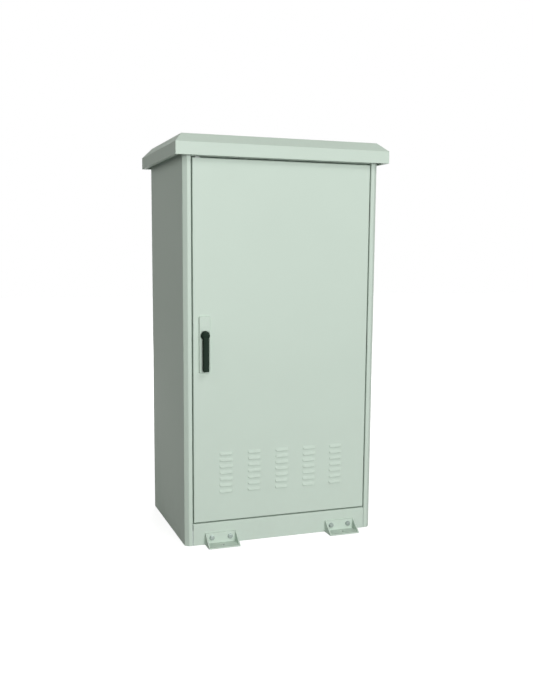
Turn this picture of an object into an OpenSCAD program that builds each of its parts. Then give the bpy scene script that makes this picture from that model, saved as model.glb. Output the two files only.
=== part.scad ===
// Free-standing outdoor cabinet of folded sheet steel: one louvred door on concealed hinges,
// a lift-and-turn handle that drives two lock rods, a hipped rain canopy and anchor brackets.
// Millimetres. +Z is up, the door faces -Y, and the origin is on the ground under the body's centre.

/* [Body] */
// Width over the side walls
body_w = 650; // [600:1:760]
// Depth from the door's face to the rear panel's outer face
body_d = 468; // [420:1:560]
// Height of the side walls above the ground
wall_h = 1250; // [1150:1:1450]
// Thickness of the body's sheet steel
sheet_t = 2; // [1.5:0.1:2.5]
// Inside radius of every folded edge
bend_r = 1.5; // [1:0.1:2.5]
// Leg of the 45 degree chamfer on the front corners
corner_chamfer = 12.5; // [8:0.5:15]
// Width of each front jamb, side wall to door recess
jamb_w = 25; // [22:0.5:32]
// Width of the lip that the door's gasket closes on
lip_w = 32; // [30:0.5:38]
// Depth of the stiffening return on the side lips
lip_return = 8; // [5:0.5:12]
// Width of the rear flange on each side wall
rear_flange = 25; // [20:0.5:32]
// Height of the header above the door recess
header_h = 32; // [28:0.5:40]

/* [Roof canopy] */
// Overhang past each side wall
roof_side = 27.5; // [20:0.5:40]
// Overhang past the front and the rear
roof_front = 21.5; // [18:0.5:35]
// How far the fascia hangs below the top of the walls
roof_drop = 30.5; // [20:0.5:34]
// Height of the upright fascia
fascia_h = 38; // [34:0.5:50]
// Rise of the sloping faces above the fascia
roof_rise = 29; // [15:0.5:45]
// Run of the sloping faces at the two ends
slope_side = 27; // [20:0.5:60]
// Run of the sloping faces at the front and rear
slope_front = 38.5; // [20:0.5:60]
// Width of the return flange under the fascia
roof_return = 11; // [6:0.5:14]
// Distance of the roof spacers in from the side walls
spacer_in_x = 175; // [130:1:200]
// Distance of the roof spacers in from the front and the rear
spacer_in_y = 74; // [60:1:110]
// Radius of a roof bolt's shank
roof_bolt_r = 5; // [4:0.5:6]

/* [Base] */
// Height of the front plinth panel
plinth_h = 71; // [66:0.5:90]
// Height of the base frame under the floor plate
base_h = 48; // [44:0.5:50]
// Thickness of the base frame
base_t = 3; // [2:0.1:4]
// Width of the base frame's inward flanges
base_flange = 30; // [24:0.5:40]
// Width of the gland plate
gland_w = 340; // [300:1:380]
// Depth of the gland plate
gland_d = 150; // [135:1:180]
// Distance of the gland plate's centre behind the middle
gland_y = 55; // [30:1:70]
// Radius of the cable holes in the gland plate
cable_r = 20; // [12:0.5:24]

/* [Anchor brackets] */
// Width of a bracket
bracket_w = 104; // [90:1:120]
// Height of its upright plate
bracket_h = 38; // [34:0.5:44]
// Reach of its foot from the plinth
bracket_out = 50; // [42:0.5:60]
// Thickness of the bracket
bracket_t = 4; // [3:0.1:5]
// Distance of each bracket's centre in from the side wall
bracket_in = 116.5; // [95:0.5:140]
// Radius of the anchor hole
anchor_r = 6.5; // [5:0.1:8]
// Distance of the anchor hole from the plinth
anchor_out = 25.5; // [22:0.5:30]
// Half the spacing of a bracket's two bolts
bolt_dx = 30.5; // [28:0.5:36]
// Height of the bolts above the ground
bolt_z = 22; // [18:0.5:24]
// Radius of a bracket bolt's shank
bolt_r = 4; // [3:0.1:5]

/* [Door] */
// Gap between the door and each jamb
door_gap = 3.5; // [3.2:0.1:5]
// Gap between the door and the sill
sill_gap = 4; // [3:0.1:6]
// Gap between the door and the header
head_gap = 4; // [3:0.1:6]
// Depth of the door's tray
door_depth = 20; // [19:0.1:22]
// Thickness of the door's sheet
door_t = 2; // [1.5:0.1:2.2]
// Width of the flange round the back of the tray
door_flange = 28; // [27.5:0.5:34]
// Outside radius of the door's front edges
door_edge_r = 3; // [2:0.5:4]
// Thickness of the foam gasket when closed
gasket_t = 9.7; // [8:0.1:14]
// Width of the gasket
gasket_w = 9; // [7:0.5:9]
// Distance from the door's edge to the gasket
gasket_in = 18.5; // [18.5:0.1:19]
// Distance of each stiffener's middle in from the door's edge
stiffener_in = 186.5; // [150:0.5:200]

/* [Louvres] */
// Number of louvre columns
louvre_cols = 5; // [1:1:5]
// Number of louvres in a column
louvre_rows = 7; // [1:1:12]
// Distance from the door's edges to the middle of the end columns
louvre_edge = 106.5; // [106:0.5:130]
// Spacing of the rows
louvre_dz = 20.6; // [16:0.1:24]
// Length of a louvre
louvre_l = 43; // [30:0.5:60]
// Height of a louvre's hood
louvre_h = 10; // [7:0.5:13]
// How far a hood stands out
louvre_out = 4.5; // [3:0.1:6]
// Thickness of the drawn sheet in a hood
louvre_t = 1.2; // [0.8:0.1:1.6]
// Height of the lowest louvre's open edge above the door's bottom
louvre_z = 93; // [75:0.5:120]

/* [Hinges] */
// Distance of the hinge axis in from the door's edge
hinge_in = 12; // [11.5:0.1:13]
// Distance of the hinge axis behind the door's face
hinge_back = 8; // [8:0.1:8.5]
// Outside radius of the hinge knuckles
knuckle_r = 5; // [4:0.1:5]
// Radius of the hinge pin
pin_r = 2.5; // [2:0.1:3]
// Height of a hinge
hinge_h = 60; // [50:1:80]
// Distance of the end hinges from the door's ends
hinge_end = 150; // [110:1:220]

/* [Lock] */
// Distance of the handle's axis in from the door's free edge
lock_in = 36; // [35:0.5:44]
// Height of the handle's axis above the door's bottom
lock_z = 601; // [500:1:700]
// Width of the escutcheon
escutcheon_w = 36; // [33:0.5:40]
// Height of the escutcheon
escutcheon_h = 178.5; // [172:0.5:200]
// Thickness of the escutcheon
escutcheon_t = 8; // [6:0.5:10]
// Distance from the handle's axis down to the escutcheon's lower end
escutcheon_low = 119; // [116:0.5:130]
// Depth of the recess behind the lever
recess_t = 3; // [1:0.1:4]
// Radius of the handle's round boss at the escutcheon
boss_r = 14; // [13.5:0.1:15.5]
// Radius of the boss's front face
boss_front_r = 10.5; // [10:0.1:13]
// How far the boss stands out from the escutcheon
boss_out = 19; // [18:0.5:24]
// Width of the lever
lever_w = 17; // [13:0.5:18]
// Distance from the handle's axis down to the lever's end
lever_l = 113; // [90:0.5:115]
// Radius of the handle's spindle
spindle_r = 6; // [5:0.1:6.5]
// Radius of the crank that drives the rods
crank_r = 10; // [9:0.1:10.5]
// Radius of the crank's pins
crank_pin_r = 2.5; // [2:0.1:2.8]
// Width of a lock rod
rod_w = 14; // [10:0.5:15]
// Thickness of a lock rod
rod_t = 3.5; // [3:0.1:3.6]

/* [Inside] */
// Spacing of the mounting holes across a pair of rack rails
rail_spacing = 465.1; // [460:0.1:470]
// Clear width between a pair of rack rails
rail_clear = 450; // [446:0.5:454]
// Width of a rail's face
rail_w = 34; // [30:0.5:40]
// Depth of a rail's side flange
rail_d = 30; // [24:0.5:40]
// Side of a rail's square hole
rail_hole = 9.5; // [7:0.1:10]
// Distance of the front rails behind the sealing lip
rail_front = 50; // [40:1:70]
// Distance of the rear rails ahead of the rear panel
rail_rear = 62; // [50:1:90]
// Length of the earth bar
earth_l = 200; // [150:1:260]
// Height of the earth bar's middle above the floor
earth_up = 60; // [50:1:200]

/* [Hidden] */
$fn = 48;
bend_steps = 3;

// Clearances
seam = 0.5;
plinth_seam = 1.2;
seal_gap = 0.3;
fit_gap = 0.2;
run_gap = 0.05;
screw_gap = 0.3;
far = 1;

// Finishes
paint = [0.77, 0.82, 0.78];
zinc = [0.72, 0.74, 0.76];
black = [0.14, 0.17, 0.16];
foam = [0.2, 0.21, 0.22];
copper = [0.72, 0.45, 0.3];
felt = [0.83, 0.84, 0.82];
resin = [0.6, 0.2, 0.15];

// Body planes
half_w = body_w / 2;
front_y = -body_d / 2;
rear_y = body_d / 2;
recess_d = door_depth + gasket_t + seal_gap;
lip_y = front_y + recess_d;
jamb_x = half_w - jamb_w;
lip_x = jamb_x - lip_w;
inner_rear = rear_y - 2 * sheet_t;
header_z = wall_h - header_h;
floor_z = base_h + sheet_t;
top_z = wall_h + sheet_t;
bracket_x = half_w - bracket_in;

// Roof planes
fascia_z = wall_h - roof_drop;
eaves_z = fascia_z + fascia_h;
ridge_z = eaves_z + roof_rise;
spacer_x = half_w - spacer_in_x;
spacer_y = body_d / 2 - spacer_in_y;

// Door planes
door_w = body_w - 2 * (jamb_w + door_gap);
door_x = door_w / 2;
door_z0 = plinth_h + sill_gap;
door_z1 = header_z - head_gap;
door_back = front_y + door_depth;
skin_back = front_y + door_t;
louvre_dx = (door_w - 2 * louvre_edge) / max(louvre_cols - 1, 1);

// Stiffeners, and the filter that covers the louvres
stiffener_x = door_x - stiffener_in;
stiffener_w = 40;
stiffener_foot = 14;
stiffener_t = 1.5;
stiffener_end = 5;
filter_side = 12;
filter_over = 30;
filter_under = 12;
filter_t = 12;
filter_rim = 9;
filter_sheet = 1.5;
filter_w = (louvre_cols - 1) * louvre_dx + louvre_l + 2 * filter_side;
filter_low = door_z0 + louvre_z - filter_under;
filter_top = door_z0 + louvre_z + (louvre_rows - 1) * louvre_dz + louvre_h + filter_over;

// Hinge axis and heights
hinge_x = door_x - hinge_in;
hinge_y = front_y + hinge_back;
hinge_zs = [door_z0 + hinge_end, (door_z0 + door_z1) / 2, door_z1 - hinge_end];
leaf_t = 3;
arm_t = 4;
arm_right = 1;
knuckle_share = 0.4;
window_end = 4;
leaf_grip = 36;
pin_head_r = 4;
pin_head_t = 2;
hinge_screw_r = 2.5;
hinge_screw_head_r = 4.2;
hinge_screw_z = 15;

// Lock planes
lock_x = -door_x + lock_in;
handle_z = door_z0 + lock_z;
escutcheon_y = front_y - escutcheon_t;
escutcheon_r = 6;
escutcheon_round = 2;
recess_rim = 3.5;
boss_gap = 0.4;
boss_y = escutcheon_y - boss_gap;
boss_base_t = 4.6;
boss_front = boss_y - boss_out;
boss_round = 2;
sleeve_r = spindle_r + 4.8;
nut_t = 4;
nut_r = sleeve_r + 6;
crank_t = 4;
crank_y = skin_back + nut_t + 2;
crank_plate_r = crank_r + 5;
crank_screw_l = 9;
rod_y = crank_y + crank_t + 0.5;
rod_side = crank_r;
rod_foot_in = 4.5;
rod_slot_gap = 0.6;
rod_foot_h = 8;
rod_throw = crank_r * sqrt(2);
crank_drop = rod_throw / 2;
rod_gap = 0.3;
lever_pin_r = 2;
lever_gap = 0.4;
lever_front = boss_front + 1;
lever_pin_y = (lever_front + boss_y - boss_base_t) / 2;
lever_eye_r = boss_y - boss_base_t - lever_gap - lever_pin_y;
lever_pin_z = handle_z - 3;
lever_round = 2.5;
lever_hood = 1.5;
lever_lift = 30;

// Fastener sizes
panel_screw_r = 3;
panel_screw_head_r = 6;
panel_screw_head_h = 3.2;
panel_screw_tail = 6;
panel_screw_n = 6;
panel_screw_end = 90;
socket_r = 2.4;
socket_d = 1.8;
gland_screw_in = 10;

// Rack rails: height of one rack unit, its three holes, and the planes of the rails' faces
rack_unit = 44.45;
rack_holes = [6.35, 22.225, 38.1];
rack_end = 30;
rail_front_y = lip_y + rail_front;
rail_rear_y = rear_y - rail_rear;

// Earth bar and its stands
earth_z = floor_z + earth_up;
earth_h = earth_l / 8;
earth_t = earth_h / 5;
earth_stand = earth_h * 0.8;
earth_stand_r = earth_h * 0.36;
earth_screw_r = earth_h * 0.12;
earth_end = earth_h / 2;
earth_y = rear_y - sheet_t - earth_stand - earth_t;

// Rod guides
guide_lock = 150;
guide_end = 120;
guide_h = 12;
guide_wall = 3;

// Unit vector along v
function unit(v) = v / norm(v);

// Vector a quarter turn to the left of u
function left_of(u) = [-u.y, u.x];

// Signed angle from direction u to direction v
function turn(u, v) = atan2(u.x * v.y - u.y * v.x, u.x * v.x + u.y * v.y);

// Vector v turned by angle a
function turned(v, a) = [v.x * cos(a) - v.y * sin(a), v.x * sin(a) + v.y * cos(a)];

// List in reverse order
function reversed(list) = [for (i = [len(list) - 1:-1:0]) list[i]];

// Points of a round bend of radius r at corner p, coming from a and going to b
function bend(a, p, b, r) =
    let (
        u = unit(p - a),
        phi = turn(u, unit(b - p)),
        start = p - u * r * tan(abs(phi) / 2),
        centre = start + left_of(u) * sign(phi) * r
    )
    [for (k = [0:bend_steps]) centre + turned(start - centre, phi * k / bend_steps)];

// Open path with its inner corners rounded to the radii given for each point
function rounded_path(path, radii) =
    let (last = len(path) - 1)
    concat(
        [path[0]],
        [for (i = [1:last - 1]) each bend(path[i - 1], path[i], path[i + 1], radii[i])],
        [path[last]]
    );

// Closed outline with each corner rounded to its radius, or left sharp at 0
function rounded_outline(points, radii) =
    let (n = len(points))
    [for (i = [0:n - 1])
        each (radii[i] > 0
            ? bend(points[(i + n - 1) % n], points[i], points[(i + 1) % n], radii[i])
            : [points[i]])];

// Path moved to its left by t, with mitred corners
function moved_left(path, t) =
    let (last = len(path) - 1, dirs = [for (i = [0:last - 1]) unit(path[i + 1] - path[i])])
    [for (i = [0:last])
        let (u = dirs[max(i - 1, 0)], v = dirs[min(i, last - 1)])
        path[i] + (left_of(u) + left_of(v)) * t / (1 + u.x * v.x + u.y * v.y)];

// Outline of a sheet of thickness t folded along a path, with its metal on the path's left
function folded(path, t) =
    let (
        last = len(path) - 1,
        turns = [for (i = [0:last])
            i == 0 || i == last ? 0 : turn(path[i] - path[i - 1], path[i + 1] - path[i])],
        face = [for (a = turns) a > 0 ? bend_r + t : bend_r],
        back = [for (a = turns) a > 0 ? bend_r : bend_r + t]
    )
    concat(rounded_path(path, face), reversed(rounded_path(moved_left(path, t), back)));

// Rectangle centred on the origin with round corners
function round_rect(w, h, r) =
    rounded_outline([[-w / 2, -h / 2], [w / 2, -h / 2], [w / 2, h / 2], [-w / 2, h / 2]], [r, r, r, r]);

// Plan of the body's inside, moved in by d from the outer faces, with the chamfered front corners
function body_plan(d) =
    let (
        x = half_w - d,
        y0 = front_y + d,
        y1 = inner_rear - d + sheet_t,
        c = max(corner_chamfer - d * (2 - sqrt(2)), seam)
    )
    [[-x + bend_r, y1], [-x, y1 - bend_r], [-x, y0 + c], [-x + c, y0],
        [x - c, y0], [x, y0 + c], [x, y1 - bend_r], [x - bend_r, y1]];

// Section of the canopy across one axis, moved in by d from its outer faces and closed below at low
function roof_section(half, run, d, low) =
    let (
        slope = norm([roof_rise, run]),
        across = roof_rise / slope,
        up = run / slope,
        eave = [half - d, eaves_z - d * (1 - across) / up],
        ridge = [half - run - d * (1 - up) / across, ridge_z - d]
    )
    [[-half + d, low], [half - d, low], eave, ridge, [-ridge.x, ridge.y], [-eave.x, eave.y]];

// Quarter ellipse from [0, b] to [a, 0]
function quarter(a, b) = [for (k = [0:4]) [a * sin(22.5 * k), b * cos(22.5 * k)]];

// Box between two corners
module box(low, high) {
    translate(low) cube(high - low);
}

// Profile in Y and Z, extruded along X about the middle
module along_x(length, middle = 0) {
    translate([middle - length / 2, 0, 0]) rotate([90, 0, 90]) linear_extrude(length) children();
}

// Profile in X and Z, extruded along Y from y0 to y1
module along_y(y0, y1) {
    translate([0, y1, 0]) rotate([90, 0, 0]) linear_extrude(y1 - y0) children();
}

// Cylinder along Y from y0 to y1
module rod_along_y(x, z, r, y0, y1) {
    translate([x, y0, z]) rotate([-90, 0, 0]) cylinder(r = r, h = y1 - y0);
}

// Cylinder along Z from z0 to z1
module rod_along_z(x, y, r, z0, z1) {
    translate([x, y, z0]) cylinder(r = r, h = z1 - z0);
}

// Hexagon along Y from y0 to y1, with corner radius r
module hex_along_y(x, z, r, y0, y1) {
    translate([x, y0, z]) rotate([-90, 0, 0]) cylinder(r = r, h = y1 - y0, $fn = 6);
}

// Places of the screws that hold the rear panel
function panel_screw_places() =
    let (dz = (wall_h - 2 * panel_screw_end) / (panel_screw_n - 1))
    [for (s = [-1, 1], i = [0:panel_screw_n - 1]) [s * (half_w - rear_flange / 2), panel_screw_end + i * dz]];

// Pan-head screw with a hexagon socket: its head sits on Z = 0 and its shank runs down by l
module pan_screw(l) {
    difference() {
        union() {
            translate([0, 0, -l]) cylinder(r = panel_screw_r, h = l + far);
            rotate_extrude()
                polygon(concat([[0, 0]], reversed(quarter(panel_screw_head_r, panel_screw_head_h))));
        }
        translate([0, 0, panel_screw_head_h - socket_d]) cylinder(r = socket_r, h = socket_d + far, $fn = 6);
    }
}

// Places of the bracket bolts: X and side, front -1 or rear 1
function bolt_places() = [for (side = [-1, 1], s = [-1, 1], k = [-1, 1]) [s * bracket_x + k * bolt_dx, side]];

// Folded side wall with its chamfered front corner, jamb, recess and sealing lip: left side
module side_wall() {
    path = [
        [-half_w + rear_flange, rear_y - sheet_t],
        [-half_w, rear_y - sheet_t],
        [-half_w, front_y + corner_chamfer],
        [-half_w + corner_chamfer, front_y],
        [-jamb_x, front_y],
        [-jamb_x, lip_y],
        [-lip_x, lip_y],
        [-lip_x, lip_y + lip_return]
    ];
    color(paint) difference() {
        linear_extrude(wall_h) polygon(folded(path, sheet_t));
        box([-jamb_x - sheet_t - bend_r - far, front_y + sheet_t, -far],
            [-lip_x + far, lip_y + lip_return + far, floor_z + far]);
        for (p = panel_screw_places())
            rod_along_y(p.x, p.y, panel_screw_r + screw_gap, inner_rear - far, rear_y);
    }
}

module left_side_wall() {
    side_wall();
}

module right_side_wall() {
    mirror([1, 0, 0]) side_wall();
}

// Flat rear panel screwed to the side walls' flanges
module rear_panel() {
    color(paint) difference() {
        box([-half_w, rear_y - sheet_t, 0], [half_w, rear_y, wall_h]);
        for (p = panel_screw_places())
            rod_along_y(p.x, p.y, panel_screw_r + screw_gap, rear_y - sheet_t - far, rear_y + far);
        for (p = bolt_places())
            if (p.y > 0) rod_along_y(p.x, bolt_z, bolt_r + screw_gap, rear_y - sheet_t - far, rear_y + far);
    }
}

// Pan-head screws of the rear panel
module rear_panel_screws() {
    color(zinc) for (p = panel_screw_places())
        translate([p.x, rear_y, p.y]) rotate([-90, 0, 0]) pan_screw(2 * sheet_t + panel_screw_tail);
}

// Plinth panel folded back into the sill and up into the lower sealing lip
module front_plinth() {
    sill = [[lip_y, plinth_h], [front_y, plinth_h], [front_y, 0]];
    lip = [[lip_y, plinth_h + lip_w], [lip_y, plinth_h], [front_y + recess_d / 2, plinth_h]];
    color(paint) difference() {
        union() {
            along_x(2 * (jamb_x - plinth_seam)) polygon(folded(sill, sheet_t));
            along_x(2 * (lip_x - seam)) polygon(folded(lip, sheet_t));
        }
        rod_slot(1, plinth_h - sheet_t - far, plinth_h + far);
        for (p = bolt_places())
            if (p.y < 0) rod_along_y(p.x, bolt_z, bolt_r + screw_gap, front_y - far, front_y + sheet_t + far);
    }
}

// Header over the door, folded back over the recess and down into the upper sealing lip
module front_header() {
    face = [[front_y, wall_h], [front_y, header_z], [lip_y, header_z]];
    lip = [[front_y + recess_d / 2, header_z], [lip_y, header_z], [lip_y, header_z - lip_w]];
    color(paint) difference() {
        union() {
            along_x(2 * (jamb_x - seam)) polygon(folded(face, sheet_t));
            along_x(2 * (lip_x - seam)) polygon(folded(lip, sheet_t));
        }
        rod_slot(-1, header_z - far, header_z + sheet_t + far);
    }
}

// Top plate with its vent slots
module top_plate() {
    slot_w = 8;
    slot_l = 90;
    slot_dy = 26;
    color(paint) difference() {
        translate([0, 0, wall_h]) linear_extrude(sheet_t) polygon([
            [-half_w, rear_y], [-half_w, front_y + corner_chamfer], [-half_w + corner_chamfer, front_y],
            [half_w - corner_chamfer, front_y], [half_w, front_y + corner_chamfer], [half_w, rear_y]
        ]);
        for (s = [-1, 1], i = [-2:2])
            translate([s * slot_l * 0.7, i * slot_dy, wall_h - far])
                linear_extrude(sheet_t + 2 * far) polygon(round_rect(slot_l, slot_w, slot_w / 2 - 0.1));
        for (sx = [-1, 1], sy = [-1, 1])
            rod_along_z(sx * spacer_x, sy * spacer_y, roof_bolt_r + screw_gap, wall_h - far, top_z + far);
        for (p = rail_screw_places())
            rod_along_z(p.x, p.y, panel_screw_r + screw_gap, wall_h - far, top_z + far);
    }
}

// Solid of the canopy moved in by d from its outer faces
module roof_form(d, low) {
    intersection() {
        along_x(body_w + 2 * roof_side + 2 * far)
            polygon(roof_section(body_d / 2 + roof_front, slope_front, d, low));
        along_y(front_y - roof_front - far, rear_y + roof_front + far)
            polygon(roof_section(half_w + roof_side, slope_side, d, low));
    }
}

// Hipped canopy with an upright fascia and a return flange round its lower edge
module roof_canopy() {
    open_x = half_w + roof_side - roof_return;
    open_y = body_d / 2 + roof_front - roof_return;
    color(paint) difference() {
        roof_form(0, fascia_z);
        roof_form(sheet_t, fascia_z + sheet_t);
        box([-open_x, -open_y, fascia_z - far], [open_x, open_y, fascia_z + sheet_t + far]);
    }
}

// Tubes that hold the canopy off the top plate
module roof_spacers() {
    color(zinc) for (sx = [-1, 1], sy = [-1, 1]) difference() {
        rod_along_z(sx * spacer_x, sy * spacer_y, roof_bolt_r * 2, top_z, ridge_z - sheet_t);
        rod_along_z(sx * spacer_x, sy * spacer_y, roof_bolt_r + screw_gap, top_z - far, ridge_z);
    }
}

// Bolts up through the top plate and the spacers
module roof_bolts() {
    head_t = 6.4;
    color(zinc) for (sx = [-1, 1], sy = [-1, 1]) translate([sx * spacer_x, sy * spacer_y, wall_h]) {
        translate([0, 0, -head_t]) cylinder(r = roof_bolt_r * 1.85, h = head_t, $fn = 6);
        cylinder(r = roof_bolt_r, h = ridge_z - sheet_t - wall_h - screw_gap);
    }
}

// Welded channel frame that carries the floor and takes the anchor brackets
module base_frame() {
    color(zinc) difference() {
        linear_extrude(base_h) polygon(body_plan(sheet_t + fit_gap));
        translate([0, 0, base_t]) linear_extrude(base_h - 2 * base_t) polygon(body_plan(sheet_t + base_t));
        translate([0, 0, -far]) linear_extrude(base_h + 2 * far) polygon(body_plan(sheet_t + base_flange));
        for (p = bolt_places())
            rod_along_y(p.x, bolt_z, bolt_r + screw_gap,
                p.y < 0 ? front_y : inner_rear - base_t - far,
                p.y < 0 ? front_y + sheet_t + base_t + far : rear_y);
        // Where the body is so narrow that the rails stand over the frame's flange
        for (p = rail_screw_places())
            rod_along_z(p.x, p.y, panel_screw_r + screw_gap, base_h - base_t - far, base_h + far);
    }
}

// Floor plate with the cable opening
module floor_plate() {
    edge = 20;
    color(zinc) difference() {
        translate([0, 0, base_h]) linear_extrude(sheet_t) polygon(body_plan(sheet_t + seam));
        translate([0, gland_y, base_h - far])
            linear_extrude(sheet_t + 2 * far) polygon(round_rect(gland_w - 2 * edge, gland_d - 2 * edge, 8));
        for (p = concat(gland_screw_places(), rail_screw_places()))
            rod_along_z(p.x, p.y, panel_screw_r + screw_gap, base_h - far, floor_z + far);
    }
}

// Places of the screws that hold the gland plate
function gland_screw_places() = [for (sx = [-1, 0, 1], sy = [-1, 1])
    [sx * (gland_w / 2 - gland_screw_in), gland_y + sy * (gland_d / 2 - gland_screw_in)]];

// Places of the cable holes
function cable_places() = [for (i = [-1:1], s = [-1, 1]) [i * 2.4 * cable_r, gland_y + s * 1.25 * cable_r]];

// Removable plate with the cable holes
module gland_plate() {
    color(zinc) translate([0, 0, floor_z]) difference() {
        translate([0, gland_y, 0]) linear_extrude(sheet_t) polygon(round_rect(gland_w, gland_d, 6));
        for (p = cable_places())
            rod_along_z(p.x, p.y, cable_r, -far, sheet_t + far);
        for (p = gland_screw_places())
            rod_along_z(p.x, p.y, panel_screw_r + screw_gap, -far, sheet_t + far);
    }
}

// Screws of the gland plate
module gland_screws() {
    color(zinc) for (p = gland_screw_places())
        translate([p.x, p.y, floor_z + sheet_t]) pan_screw(2 * sheet_t + panel_screw_tail);
}

// Closed rubber grommets in the cable holes
module cable_grommets() {
    rim = 2.5;
    neck = cable_r - 0.1;
    color(foam) for (p = cable_places()) translate([p.x, p.y, floor_z]) rotate_extrude() polygon([
        [0, sheet_t + 1], [neck - 6, sheet_t + 1], [neck - 3, -rim], [neck + 1.5, -rim], [neck + 1.5, 0],
        [neck, 0], [neck, sheet_t], [neck + 3, sheet_t], [neck + 3, sheet_t + 1], [neck, sheet_t + rim + 1],
        [neck - 4, sheet_t + rim + 1], [0, sheet_t + rim + 2]
    ]);
}

// Anchor bracket with gussets at both ends: sx is left -1 or right 1, sy is front -1 or rear 1
module anchor_bracket(sx, sy) {
    gusset = [[0, 0], [0, bracket_h], [-bracket_t, bracket_h], [-bracket_out, bracket_t], [-bracket_out, 0]];
    color(paint) mirror([0, sy > 0 ? 1 : 0, 0]) translate([sx * bracket_x, front_y, 0]) difference() {
        union() {
            along_x(bracket_w) polygon([
                [0, 0], [0, bracket_h], [-bracket_t, bracket_h], [-bracket_t, bracket_t],
                [-bracket_out, bracket_t], [-bracket_out, 0]
            ]);
            for (k = [-1, 1])
                along_x(bracket_t, k * (bracket_w - bracket_t) / 2) polygon(gusset);
        }
        rod_along_z(0, -anchor_out, anchor_r, -far, bracket_t + far);
        for (k = [-1, 1])
            rod_along_y(k * bolt_dx, bolt_z, bolt_r + screw_gap, -bracket_t - far, far);
    }
}

module bracket_front_left() {
    anchor_bracket(-1, -1);
}

module bracket_front_right() {
    anchor_bracket(1, -1);
}

module bracket_rear_left() {
    anchor_bracket(-1, 1);
}

module bracket_rear_right() {
    anchor_bracket(1, 1);
}

// Thickness that a bracket bolt clamps at the front -1 or the rear 1
function bolt_grip(side) = bracket_t + sheet_t + base_t + (side > 0 ? sheet_t : 0);

// Hexagon bolts with washers, through bracket, panel and base frame
module bracket_bolts() {
    washer_t = 1.6;
    head_t = bolt_r * 1.3;
    color(zinc) for (p = bolt_places())
        mirror([0, p.y > 0 ? 1 : 0, 0]) translate([0, front_y - bracket_t, 0]) {
            rod_along_y(p.x, bolt_z, bolt_r * 2.1, -washer_t, 0);
            hex_along_y(p.x, bolt_z, bolt_r * 1.85, -washer_t - head_t, -washer_t);
            rod_along_y(p.x, bolt_z, bolt_r, -washer_t, bolt_grip(p.y) + bolt_r * 2);
        }
}

// Nuts of the bracket bolts, inside the base frame
module bracket_nuts() {
    nut_h = bolt_r * 1.6;
    color(zinc) for (p = bolt_places())
        mirror([0, p.y > 0 ? 1 : 0, 0]) translate([0, front_y - bracket_t + bolt_grip(p.y), 0]) difference() {
            hex_along_y(p.x, bolt_z, bolt_r * 1.85, 0, nut_h);
            rod_along_y(p.x, bolt_z, bolt_r + run_gap, -far, nut_h + far);
        }
}

// Places of the screws in the rails' feet
function rail_screw_places() = [for (sx = [-1, 1], rail = [[rail_front_y, 1], [rail_rear_y, -1]])
    [sx * (rail_clear + rail_w) / 2, rail[0] + rail[1] * (rail_d + sheet_t) / 2]];

// Rack rail with a foot at each end: sx is left -1 or right 1, y is its face, sy is front -1 or rear 1
module rack_rail(sx, sy, y) {
    units = floor((wall_h - floor_z - 2 * rack_end) / rack_unit);
    z0 = (floor_z + wall_h - units * rack_unit) / 2;
    x0 = rail_clear / 2;
    x1 = x0 + rail_w;
    path = [[x0, 0], [x1, 0], [x1, rail_d]];
    across = sx < 0 ? 1 : 0;
    along = sy > 0 ? 1 : 0;
    color(zinc) mirror([across, 0, 0]) translate([0, y, 0]) mirror([0, along, 0]) difference() {
        union() {
            translate([0, 0, floor_z]) linear_extrude(wall_h - floor_z) polygon(folded(path, sheet_t));
            for (z = [floor_z, wall_h - sheet_t])
                box([x0 + bend_r, sheet_t / 2, z], [x1 - sheet_t / 2, rail_d, z + sheet_t]);
        }
        for (u = [0:units - 1], p = rack_holes)
            box([rail_spacing / 2 - rail_hole / 2, -far, z0 + u * rack_unit + p - rail_hole / 2],
                [rail_spacing / 2 + rail_hole / 2, sheet_t + far, z0 + u * rack_unit + p + rail_hole / 2]);
        rod_along_z((x0 + x1) / 2, (rail_d + sheet_t) / 2, panel_screw_r + screw_gap,
            floor_z - far, wall_h + far);
    }
}

module rail_front_left() {
    rack_rail(-1, -1, rail_front_y);
}

module rail_front_right() {
    rack_rail(1, -1, rail_front_y);
}

module rail_rear_left() {
    rack_rail(-1, 1, rail_rear_y);
}

module rail_rear_right() {
    rack_rail(1, 1, rail_rear_y);
}

// Screws of the rails' feet, in the floor plate and the top plate
module rail_screws() {
    l = 2 * sheet_t + panel_screw_tail;
    color(zinc) for (p = rail_screw_places()) {
        translate([p.x, p.y, floor_z + sheet_t]) pan_screw(l);
        translate([p.x, p.y, wall_h - sheet_t]) rotate([180, 0, 0]) pan_screw(l);
    }
}

// Copper earth bar above the floor, with a row of clamping holes between its two stands
module earth_bar() {
    hole_dx = earth_h * 0.88;
    holes = floor((earth_l / 2 - earth_end - earth_h * 0.7) / hole_dx);
    row = [for (i = [-holes:holes]) i * hole_dx];
    ends = [for (s = [-1, 1]) s * (earth_l / 2 - earth_end)];
    color(copper) difference() {
        along_y(earth_y, earth_y + earth_t)
            translate([0, earth_z]) polygon(round_rect(earth_l, earth_h, earth_t / 2));
        for (x = concat(row, ends))
            rod_along_y(x, earth_z, earth_screw_r + screw_gap, earth_y - far, earth_y + earth_t + far);
    }
}

// Insulating stands of the earth bar, each with its screw
module earth_bar_stands() {
    head_t = earth_screw_r * 1.3;
    color(resin) for (s = [-1, 1]) translate([s * (earth_l / 2 - earth_end), 0, 0]) {
        rod_along_y(0, earth_z, earth_stand_r, earth_y + earth_t, rear_y - sheet_t);
        rod_along_y(0, earth_z, earth_screw_r, earth_y - head_t, earth_y + earth_t + far);
        hex_along_y(0, earth_z, earth_screw_r * 2, earth_y - head_t, earth_y);
    }
}

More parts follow.
